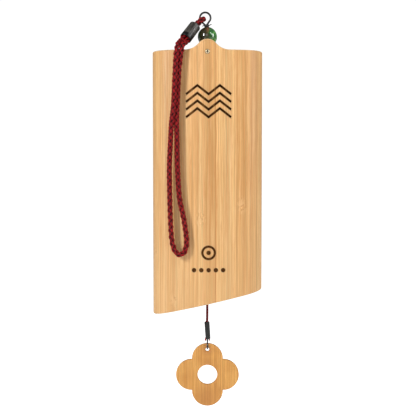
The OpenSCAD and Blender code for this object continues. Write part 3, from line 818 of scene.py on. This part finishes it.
def shell_mesh(name, material, front):
    """One half of the body as a closed mesh with rounded lips."""
    rows = section_points()
    profile = wall_profile()
    flip = 1 if front else -1
    points, uvs = [], []
    for x, y, nx, ny, arc in rows:
        for depth, at_top, drop in profile:
            px, py = x - nx * depth, y - ny * depth
            if abs(y) < SEAM_SLACK:
                py = 0.0
            z = top_height(px) - drop if at_top else mouth_height(px) + drop
            points.append((px + AXIS, flip * py, z))
            uvs.append((arc if front else 2 * rows[-1][4] - arc, z))
    n = len(profile)
    faces = grid_faces(len(rows), n, closed=False)
    faces.append(tuple(reversed(range(n))))
    faces.append(tuple(range((len(rows) - 1) * n, len(rows) * n)))
    if not front:
        faces = [tuple(reversed(f)) for f in faces]
    piece = build(name, points, faces, material, uvs)
    face_outwards(piece)
    return piece


def rail_cutter(name, left, right, material):
    """A thin prism between two rails of x, z points; its floor lies a burn's depth under the curved face."""
    mesh = bmesh.new()

    def layer(reach):
        rows = []
        for rail in (left, right):
            line = [(x + AXIS, FACE_Y - math.sqrt(FACE_R ** 2 - x ** 2) - reach, z) for x, z in rail]
            rows.append([mesh.verts.new([number * MM for number in point]) for point in line])
        return rows
    floor, lid = layer(-BURN_DEPTH), layer(1.2)
    last = len(left) - 1
    for i in range(last):
        for rows in (floor, lid):
            mesh.faces.new((rows[0][i], rows[0][i + 1], rows[1][i + 1], rows[1][i]))
        for k in (0, 1):
            mesh.faces.new((floor[k][i], floor[k][i + 1], lid[k][i + 1], lid[k][i]))
    for i in (0, last):
        mesh.faces.new((floor[0][i], floor[1][i], lid[1][i], lid[0][i]))
    bmesh.ops.remove_doubles(mesh, verts=mesh.verts, dist=1e-3 * MM)
    bmesh.ops.recalc_face_normals(mesh, faces=mesh.faces)
    data = bpy.data.meshes.new(name)
    mesh.to_mesh(data)
    mesh.free()
    data.materials.append(material)
    return put_in_scene(name, data)


def finely(rail, parts=16):
    """The rail with extra points, so that a piece cut along it follows the curved face."""
    fine = [rail[0]]
    for (x, z), (nx, nz) in zip(rail, rail[1:]):
        fine += [(x + (nx - x) * k / parts, z + (nz - z) * k / parts) for k in range(1, parts + 1)]
    return fine


def zigzag_rails(row):
    """Upper and lower rail of a zigzag line whose ends are cut square to its legs."""
    slope = math.atan2(ZIG_H, ZIG_LEG)
    half = BURN_LINE / 2 / math.cos(slope)
    low = ZIG_TOP - ZIG_H - row * ZIG_PITCH
    upper = [(ZIG_X + (i - 2) * ZIG_LEG, low + (i % 2) * ZIG_H + half) for i in range(5)]
    lower = [(x, z - 2 * half) for x, z in upper]
    shift_x, shift_z = BURN_LINE / 2 * math.sin(slope), BURN_LINE / 2 * math.cos(slope)
    for end, way in ((0, -1), (4, 1)):
        x = ZIG_X + (end - 2) * ZIG_LEG
        upper[end] = (x + way * shift_x, low + shift_z)
        lower[end] = (x - way * shift_x, low - shift_z)
    return finely(upper), finely(lower)


def arc_rail(x, z, r, start, end, count=28):
    angles = np.linspace(start, end, count + 1)
    return [(x + r * math.cos(a), z + r * math.sin(a)) for a in angles]


def burn_cutters(material):
    rails = [zigzag_rails(row) for row in range(ZIG_ROWS)]
    for start, end in ((0, math.pi), (math.pi - 0.02, 2 * math.pi + 0.02)):
        rails.append((arc_rail(ORNAMENT_X, ORNAMENT_Z, RING_R, start, end),
                      arc_rail(ORNAMENT_X, ORNAMENT_Z, RING_R - BURN_LINE, start, end)))
    dots = [(ORNAMENT_X, ORNAMENT_Z)]
    dots += [(ORNAMENT_X + (i - (DOTS - 1) / 2) * DOT_PITCH, ORNAMENT_Z - DOT_DROP) for i in range(DOTS)]
    for x, z in dots:
        rails.append((arc_rail(x, z, DOT_R, 0, math.pi, 16), arc_rail(x, z, DOT_R, 0, -math.pi, 16)))
    return [rail_cutter(f"cutter_{i}", left, right, material) for i, (left, right) in enumerate(rails)]


def circle_outline(x, z, r, count):
    return arc_rail(x, z, r, 0, 2 * math.pi, count)[:-1]


def screw_cutter(material, side):
    """A round peg through the wall where a crossbar screw goes."""
    rings = []
    for y in (side * 15.0, side * 30.0):
        rings.append([(AXIS + SCREW_HOLE_R * math.cos(a), y, CROSSBAR_Z + SCREW_HOLE_R * math.sin(a))
                      for a in np.linspace(0, 2 * math.pi, 32, endpoint=False)])
    points = rings[0] + rings[1]
    faces = grid_faces(2, 32, closed=False) + [tuple(range(32)), tuple(range(63, 31, -1))]
    piece = build(f"screw_cutter_{side}", points, faces, material)
    face_outwards(piece)
    return piece


def carve(piece, cutters):
    """Cuts all cutters from a piece, and leaves their materials on the cut faces."""
    for cutter in cutters:
        cut = piece.modifiers.new("cut", "BOOLEAN")
        cut.operation = "DIFFERENCE"
        cut.solver = "EXACT"
        cut.object = cutter
        cut.material_mode = "TRANSFER"
        bake(piece)
        bpy.data.objects.remove(cutter)


def round_shading(piece, front):
    """Gives the curved walls their true normals, so that cuts leave no creases in the shading."""
    mesh = piece.data
    mesh.polygons.foreach_set("use_smooth", [True] * len(mesh.polygons))
    mesh.set_sharp_from_angle(angle=math.radians(32))
    normals = [tuple(n.vector) for n in mesh.corner_normals]
    flip = 1 if front else -1
    for face in mesh.polygons:
        for loop in face.loop_indices:
            co = mesh.vertices[mesh.loops[loop].vertex_index].co / MM
            x, y = co.x - AXIS, flip * co.y
            if abs(x) > FACE_R * math.sin(FACE_ANGLE):
                centre, radius = (math.copysign(SIDE_X, x), 0.0), SIDE_R
            else:
                centre, radius = (0.0, FACE_Y), FACE_R
            nx, ny = x - centre[0], y - centre[1]
            away = math.hypot(nx, ny)
            nx, ny = nx / away, flip * ny / away
            facing = face.normal.x * nx + face.normal.y * ny
            if abs(away - radius) < WALL_SLACK and facing > FACING:
                normals[loop] = (nx, ny, 0.0)
            elif abs(away - radius + WALL) < WALL_SLACK and facing < -FACING:
                normals[loop] = (-nx, -ny, 0.0)
    mesh.normals_split_custom_set(normals)


def make_shells(wood, char):
    for name, node, front in (("bamboo_front", "front_shell", True), ("bamboo_rear", "rear_shell", False)):
        piece = shell_mesh(name, wood, front)
        cutters = burn_cutters(char) if front else []
        carve(piece, cutters + [screw_cutter(wood, -1 if front else 1)])
        round_shading(piece, front)
        seat(piece, "resonator", node)


# ---------------------------------------------------------------- strap

def sleeve_direction():
    return np.array([math.sin(SLEEVE_TILT) * math.cos(SLEEVE_TURN),
                     math.sin(SLEEVE_TILT) * math.sin(SLEEVE_TURN), math.cos(SLEEVE_TILT)])


def strap_path():
    """One closed loop: round the eye's wire, through the sleeve, down the front and back."""
    down = sleeve_direction()
    y_axis = np.array([0.0, 1.0, 0.0])
    out = np.array([math.cos(EYE_HOLD), 0.0, math.sin(EYE_HOLD)])
    hold = EYE_R * out
    upper_side = unit(y_axis - down[1] * down)
    lower_side = unit(np.cross(y_axis, down))
    arch = [hold + ARCH_R * (math.sin(a) * y_axis - math.cos(a) * out)
            for a in np.radians(np.arange(-90, 91, 30))]
    end = SLEEVE_TOP + SLEEVE_LEN * down
    start = end + LOOP_GAP * down

    def inside(way, fractions):
        places = []
        for f in fractions:
            side = unit((1 - f) * upper_side + f * lower_side)
            places.append(SLEEVE_TOP + f * SLEEVE_LEN * down + way * STRAND_GAP * side)
        return places
    front = [np.array([x, STRAP_Y + back, z]) for x, back, z in STRAP_LINE]
    middle = [0.0, 0.33, 0.66, 1.0]
    points = (arch + inside(1, middle) + [start + STRAND_GAP * lower_side] + front
              + [start - STRAND_GAP * lower_side] + inside(-1, middle[::-1]))
    return points, end, down


def make_strap(cord, core):
    line, end, down = strap_path()
    path, length = smooth_path(line, 0.55, closed=True)
    parts, depth = braid(path, length, True, BRAID_R, BRAID_PITCH, thick=0.75, wide=1.15, wave=0.55)
    piece = build_parts("strap_braid", parts, cord, depth)
    u, v = path_frames(path, True)
    along = np.arange(len(path)) * length / len(path)
    # a near-black tube inside the braid, as painted shade in its gaps
    points, faces, uvs = sweep(path, u, v, CORE_R, CORE_R, 12, True, along)
    inner = build("strap_core_shade", points, faces, core, uvs)
    for item in (piece, inner):
        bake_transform(item)
    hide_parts("strap_eye_loop", "hand_loop")


def lathe_tube(name, top, down, length, outer, bore, material, ripple=0.0, flare=0.0, sides=72):
    """A tube with rounded lips from top along down, with shallow creases that run along it."""
    lip = (outer - bore) * 0.45
    profile = [(outer - lip, 0.0), (outer - 0.3 * lip, 0.3 * lip), (outer, lip)]
    steps = 16
    profile += [(outer, lip + (length - 2 * lip) * i / steps) for i in range(1, steps + 1)]
    profile += [(outer - 0.3 * lip, length - 0.3 * lip), (outer - lip, length), (bore, length - 0.1),
                (bore, length * 0.5), (bore, 0.1)]
    down = unit(np.asarray(down, float))
    side = unit(np.cross(down, [0.0, 1.0, 0.0]))
    other = np.cross(down, side)
    angles = np.arange(sides) * 2 * math.pi / sides
    crease = (0.5 * np.sin(5 * angles + 0.7) + 0.35 * np.sin(11 * angles + 2.1) + 0.3 * np.sin(17 * angles))
    points, uvs = [], []
    for r, s in profile:
        grown = r * (1 + flare * s / length)
        radii = grown + ripple * crease * (1 + 0.4 * math.sin(s * 0.7))
        for a, rr in zip(angles, radii):
            points.append(top + down * s + side * rr * math.cos(a) + other * rr * math.sin(a))
            uvs.append((a / (2 * math.pi), s))
    faces = grid_faces(len(profile), sides, closed=True)
    return build(name, points, faces, material, uvs, sharp=50)


def make_sleeves(upper, lower):
    piece = lathe_tube("strap_binding", SLEEVE_TOP, sleeve_direction(), SLEEVE_LEN, SLEEVE_R, SLEEVE_BORE,
                       upper, ripple=0.07, flare=0.045)
    seat(piece, "strap", "strap_sleeve")
    lean = np.array([1.2, 0.0, -TAIL_SLEEVE_LEN])
    top = np.array([AXIS - 0.55, 0.0, TAIL_SLEEVE_TOP])
    piece = lathe_tube("tail_binding", top, lean, TAIL_SLEEVE_LEN, TAIL_SLEEVE_R, TAIL_SLEEVE_BORE, lower,
                       ripple=0.06, flare=-0.03, sides=40)
    seat(piece, "tail", "tail_sleeve")


# ---------------------------------------------------------------- hanger, knots and bead

def make_wire(material):
    """The eye, its crossed neck and two legs, and the lower eye round the crossbar."""
    eye = [(EYE_R * math.cos(math.radians(a)), 0.0, EYE_R * math.sin(math.radians(a)))
           for a in range(222, -43, -12)]
    top, low = -9.0, CROSSBAR_Z + LOWER_EYE_R
    left, right = AXIS - LEG_GAP, AXIS + LEG_GAP
    points = [(left, 0, low), (left, 0, -20), (left, 0, top), (0.1, 0, top + 1.6)] + eye
    points += [(0.1 + 2 * LEG_GAP, 0, top + 1.6), (right, 0, top), (right, 0, -20), (right, 0, low)]
    ring = [(AXIS + LOWER_EYE_R * math.cos(a), 0.0, CROSSBAR_Z + LOWER_EYE_R * math.sin(a))
            for a in np.linspace(0, 2 * math.pi, 36, endpoint=False)]
    parts = [round_tube(points, WIRE_R, 0.45, 18), round_tube(ring, WIRE_R, 0.6, 18, closed=True)]
    piece = build_parts("wire_hanger", parts, material)
    seat(piece, "hanger", "hanger_wire")


def coil(centre, r, turns, rise, lift):
    """Points of a wrap of several turns about a vertical line."""
    angles = np.linspace(0, 2 * math.pi * turns, int(20 * turns))
    wave = lift * np.sin(angles * 1.5)
    return [(centre[0] + r * math.cos(a), centre[1] + r * math.sin(a),
             centre[2] + rise * (i / len(angles) - 0.5) + w)
            for i, (a, w) in enumerate(zip(angles, wave))]


def make_neck_knot(material):
    centre = (KNOT_X, 0.0, KNOT_Z)
    wrap = round_tube(coil(centre, KNOT_R - 0.75, 3.0, 2.0, 0.15), KNOT_WIRE, 0.4, 12)
    over = [(KNOT_X - 2.0, -1.6, KNOT_Z + 0.9), (KNOT_X - 0.6, -2.5, KNOT_Z + 0.3),
            (KNOT_X + 0.8, -2.4, KNOT_Z - 0.4), (KNOT_X + 2.1, -1.3, KNOT_Z - 0.9)]
    tail = [(KNOT_X + 1.4, -1.4, KNOT_Z + 0.2), (KNOT_X + 2.8, -0.9, KNOT_Z + 0.5),
            (KNOT_X + 4.0, -0.6, KNOT_Z + 1.2), (KNOT_X + 5.0, -0.5, KNOT_Z + 1.4)]
    other = [(KNOT_X - 1.5, -1.2, KNOT_Z), (KNOT_X - 3.0, -0.8, KNOT_Z + 0.1),
             (KNOT_X - 4.4, -0.6, KNOT_Z - 0.5)]
    parts = [wrap] + [round_tube(line, r, 0.35, 10) for line, r in
                      ((over, KNOT_WIRE), (tail, 0.45), (other, 0.42))]
    piece = build_parts("thread_knot", parts, material)
    seat(piece, "hanger", "neck_knot")


def make_bead(material):
    """A wound glass bead: round, with softened holes and a slight sag to one side."""
    inner = math.asin(BEAD_BORE / BEAD_R)
    rim = 0.5
    profile = [(BEAD_BORE, 0.0)]
    edge = BEAD_R * math.cos(inner)
    profile += [(BEAD_BORE, edge - 2.2), (BEAD_BORE + 0.05, edge - rim), (BEAD_BORE + 0.25, edge - 0.12),
                (BEAD_BORE + 0.6, edge - 0.08)]
    steps = 40
    start = inner + 0.11
    outer = [(BEAD_R * math.sin(start + (math.pi - 2 * start) * i / steps),
              BEAD_R * math.cos(start + (math.pi - 2 * start) * i / steps)) for i in range(steps + 1)]
    profile += outer + [(r, -h) for r, h in reversed(profile[1:])]
    sides = 96
    points, uvs = [], []
    for r, h in profile:
        for j in range(sides):
            a = 2 * math.pi * j / sides
            sag = 1 - 0.006 * (1 + math.sin(a + 0.8 + h * 0.25)) * min(1, max(0, (r - 3) / 4))
            points.append((AXIS + r * sag * math.cos(a), r * sag * math.sin(a), BEAD_Z + h))
            uvs.append((j / sides, h / 20))
    faces = grid_faces(len(profile), sides, closed=True)
    piece = build("lampwork_bead", points, faces, material, uvs, sharp=60)
    face_outwards(piece)
    seat(piece, "bead", "glass_bead")


# ---------------------------------------------------------------- striker, tail and sail

def thin_braid(points, closed=False):
    path, length = smooth_path(points, 0.5, closed)
    return braid(path, length, closed, THIN_BRAID_R, THIN_PITCH, thick=0.28, wide=0.52, wave=0.2, sides=6)


def make_thin_cords(material, plain):
    """The striker's cord with its loop round the swivel ring, and the long cord down to the sleeve."""
    top = RING_LOW_Z
    loop_z = top + 0.5 - CORD_LOOP_R
    loop = [(AXIS, CORD_LOOP_R * math.sin(a), loop_z + CORD_LOOP_R * math.cos(a))
            for a in np.linspace(0, 2 * math.pi, 16, endpoint=False)]
    line = [(AXIS, 0, loop_z - CORD_LOOP_R + 0.2), (AXIS, 0, -110), (AXIS, 0, -146)]
    ring, ring_depth = thin_braid(loop, closed=True)
    drop, drop_depth = thin_braid(line)
    piece = build_parts("striker_braid", ring + drop, material, np.concatenate([ring_depth, drop_depth]))
    seat(piece, "striker", "striker_cord")
    line = [(AXIS, 0, -145.2), (AXIS, 0, -200), (AXIS, 0, -260), (AXIS - 0.2, 0, -300), (AXIS - 0.4, 0, -309),
            (AXIS + 0.3, 0, -322)]
    parts, depth = thin_braid(line)
    piece = build_parts("tail_braid", parts, material, depth)
    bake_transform(piece)
    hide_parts("tail_cord")
    parts = []
    for x, drop, lean in ((-2.0, 1.3, -0.2), (1.75, 1.3, 0.2)):
        base = TAIL_SLEEVE_TOP - TAIL_SLEEVE_LEN
        u_bend = [(AXIS + x + 0.35, 0.5, base + 1.8), (AXIS + x + lean, 0.3, base - drop * 0.5),
                  (AXIS + x + lean * 0.6, 0, base - drop), (AXIS + x + 0.3, -0.3, base - drop * 0.5),
                  (AXIS + x + 0.1, -0.5, base + 1.8)]
        parts.append(round_tube(u_bend, 0.55, 0.3, 10))
    piece = build_parts("tail_loop_tips", parts, plain)
    seat(piece, "tail")


def make_striker_knots(material):
    parts = []
    for side in (1, -1):
        z = STRIKER_Z + side * (STRIKER_T / 2 + KNOT_BALL_R)
        for r, turns, rise in ((1.35, 2.5, 1.7), (0.85, 2.0, 2.9)):
            parts.append(round_tube(coil((AXIS, 0, z), r, turns, rise, 0.2), 0.62, 0.4, 10))
    piece = build_parts("cord_knots", parts, material)
    seat(piece, "striker", "striker_knots")


def make_thread(material, end_highlight):
    """Closed thread through the sail's small hole and over its rim."""
    top = TAIL_SLEEVE_TOP - TAIL_SLEEVE_LEN - 1.2
    low, wide = THREAD_HOLE_Z + 1, SAIL_T / 2 + 1.15
    right = [(0, top + 1.8), (0.3, top + 1.2), (0.35, top - 0.6), (1.6, top - 2.2), (wide, top - 4),
             (wide, low + 2.6), (wide - 0.2, low + 0.8), (SAIL_T / 2, low), (0, low)]
    left = [(-y, z) for y, z in right[-2:0:-1]]
    path = [(AXIS, y, z) for y, z in right + left]
    points, faces, uvs = round_tube(path, THREAD_R, 0.35, 12, closed=True)
    piece = build("sail_loop", points, faces, material, uvs)
    seat(piece, "thread", "sail_thread")
    # the knot's cut end, in pale grey as a painted highlight
    stub = [(AXIS + 0.3, -wide - 0.3, top - 3.4), (AXIS - 0.5, -wide - 0.9, top - 4.0),
            (AXIS - 0.9, -wide - 1.0, top - 4.9)]
    points, faces, uvs = round_tube(stub, 0.4, 0.3, 8)
    piece = build("thread_stub", points, faces, end_highlight, uvs)
    seat(piece, "thread")


def make_sail(material):
    """Four round lobes with softened edges and two holes."""
    curve = bpy.data.curves.new("sail_outline", "CURVE")
    curve.dimensions = "2D"
    curve.fill_mode = "BOTH"
    rim = 0.55
    outer = []
    for i in range(360):
        a = 2 * math.pi * i / 360
        off = (a + math.pi / 4) % (math.pi / 2) - math.pi / 4
        r = LOBE_OFF * math.cos(off) + math.sqrt(LOBE_R ** 2 - (LOBE_OFF * math.sin(off)) ** 2)
        outer.append((r * math.cos(a), r * math.sin(a)))
    holes = [circle_outline(0, 0, SAIL_HOLE_R, 120),
             circle_outline(0, THREAD_HOLE_Z - SAIL_Z, THREAD_HOLE_R, 40)]
    for outline in [outer] + holes:
        spline = curve.splines.new("POLY")
        spline.points.add(len(outline) - 1)
        for point, (x, z) in zip(spline.points, outline):
            point.co = (x * MM, z * MM, 0, 1)
        spline.use_cyclic_u = True
    curve.extrude = (SAIL_T / 2 - rim) * MM
    curve.bevel_depth = rim * MM
    curve.bevel_resolution = 3
    curve.offset = -rim * MM
    source = put_in_scene("sail_source", curve)
    graph = bpy.context.evaluated_depsgraph_get()
    mesh = bpy.data.meshes.new_from_object(source.evaluated_get(graph))
    bpy.data.objects.remove(source)
    for vertex in mesh.vertices:
        x, y, z = vertex.co
        vertex.co = (x + AXIS * MM, -z, y + SAIL_Z * MM)
    work = bmesh.new()
    work.from_mesh(mesh)
    bmesh.ops.remove_doubles(work, verts=work.verts, dist=1e-6)
    bmesh.ops.recalc_face_normals(work, faces=work.faces)
    work.to_mesh(mesh)
    work.free()
    mesh.materials.clear()
    mesh.materials.append(material)
    mesh.polygons.foreach_set("use_smooth", [True] * len(mesh.polygons))
    mesh.update()
    piece = put_in_scene("lobed_sail", mesh)
    settle(piece)
    seat(piece, "sail", "sail")


# ---------------------------------------------------------------- carried-over CAD nodes

def dress(node, material, bevel=0.0):
    """A CAD node gets a material and, where it is turned or sawn, a softened edge."""
    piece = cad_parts[node]
    piece.data.materials.clear()
    piece.data.materials.append(material)
    for face in piece.data.polygons:
        face.use_smooth = True
    if bevel:
        soft = piece.modifiers.new("edge", "BEVEL")
        soft.width = bevel * MM
        soft.segments = 2
        soft.limit_method = "ANGLE"
        soft.angle_limit = math.radians(40)
        settle(piece)


def dress_nodes(steel, brass, dark, board):
    dress("crossbar", dark, 0.4)
    dress("crossbar_screws", brass, 0.06)
    dress("sound_board", board, 0.4)
    dress("rod_plate", steel, 0.25)
    dress("plate_screws", brass, 0.05)
    dress("hook", steel)
    dress("swivel_ring", steel)
    dress("striker_disc", dark, 0.5)
    for i in range(1, 9):
        dress(f"tone_rod_{i}", steel, 0.2)


# ---------------------------------------------------------------- stage, light and camera

def aim(item, place, target):
    """Puts a lamp or a camera at a place and turns it to a target."""
    item.location = place
    item.rotation_euler = (target - place).to_track_quat("-Z", "Y").to_euler()


def lamp(name, place, target, size, power, size_y=None):
    data = bpy.data.lights.new(name, "AREA")
    data.energy = power
    data.size = size
    if size_y:
        data.shape = "RECTANGLE"
        data.size_y = size_y
    aim(put_in_scene(name, data), Vector(place), Vector(target))


def make_stage():
    """A plain white floor, a white world and soft studio lamps from the left, the right and above."""
    mesh = bpy.data.meshes.new("floor")
    half, z = FLOOR_HALF, FLOOR_Z
    corners = [(-half, -half, z), (half, -half, z), (half, half, z), (-half, half, z)]
    mesh.from_pydata(corners, [], [(0, 1, 2, 3)])
    floor = put_in_scene("floor", mesh)
    white = Shader("white_floor", 0.9)
    white.put("Base Color", (0.9, 0.9, 0.9, 1))
    white.put("Emission Color", (1, 1, 1, 1))
    seen = white.node("ShaderNodeLightPath").outputs["Is Camera Ray"]
    white.put("Emission Strength", white.span(seen, 0.0, 1.0, FLOOR_GLOW, FLOOR_SEEN))
    mesh.materials.append(white.material)
    world = bpy.data.worlds.new("studio")
    world.use_nodes = True
    tree = world.node_tree
    background = tree.nodes["Background"]
    rays = tree.nodes.new("ShaderNodeLightPath")
    strength = tree.nodes.new("ShaderNodeMapRange")
    strength.inputs["To Min"].default_value = SKY_GLOW
    strength.inputs["To Max"].default_value = SKY_SEEN
    tree.links.new(rays.outputs["Is Camera Ray"], strength.inputs["Value"])
    tree.links.new(strength.outputs[0], background.inputs["Strength"])
    background.inputs["Color"].default_value = (1, 1, 1, 1)
    bpy.context.scene.world = world
    lamp("key", (-0.95, -0.92, 0.42), BODY_MIDDLE, 0.14, 13, size_y=0.6)
    lamp("side", (1.31, -0.40, 0.3), BODY_MIDDLE, 0.3, 8.4, size_y=0.8)
    lamp("front", (-0.2, -1.6, 0.5), BODY_MIDDLE, 0.8, 2)
    lamp("strip", (0.85, -0.66, 0.66), BODY_TOP, 0.1, 2, size_y=0.6)


def make_camera():
    """Level with the upper part of the chime and almost a metre in front of it."""
    data = bpy.data.cameras.new("camera")
    data.sensor_width = SENSOR
    data.lens = SENSOR * (CAMERA_TARGET - CAMERA_PLACE).length / VIEW_WIDTH
    data.clip_start = 0.01
    camera = put_in_scene("camera", data)
    aim(camera, CAMERA_PLACE, CAMERA_TARGET)
    bpy.context.scene.camera = camera


def main():
    crimson = cord_material("crimson_cord", tone(170, 16, 22), tone(104, 6, 10))
    flecked = cord_material("flecked_cord", tone(176, 24, 34), tone(112, 10, 18), flecks=0.65, valley_shade=0.45)
    plain_red = cord_material("plain_red_cord", tone(176, 24, 34), tone(112, 10, 18), valley_shade=1)
    make_shells(bamboo_body(), burned())
    make_strap(crimson, core_shade_material())
    satin = sleeve_material("satin_sleeve", tone(26, 24, 22), tone(92, 88, 82), 0.34, SLEEVE_LEN - SHADED_END)
    matte = sleeve_material("matte_sleeve", tone(14, 16, 15), tone(32, 34, 32), 0.5, TAIL_SLEEVE_LEN)
    make_sleeves(satin, matte)
    make_wire(wire_material())
    make_neck_knot(thread_material())
    make_bead(glass_material())
    make_thin_cords(flecked, plain_red)
    make_striker_knots(plain_red)
    make_thread(thread_material(), thread_end_highlight())
    make_sail(sail_bamboo())
    dress_nodes(metal_material("polished_steel", tone(205, 206, 210), 0.22, 0.05),
                metal_material("dull_brass", tone(236, 218, 178), 0.34, 0.06, recess_shade=True),
                plain_dark_bamboo(), board_bamboo())
    make_stage()
    make_camera()
    bpy.context.scene.view_settings.view_transform = "Standard"


main()
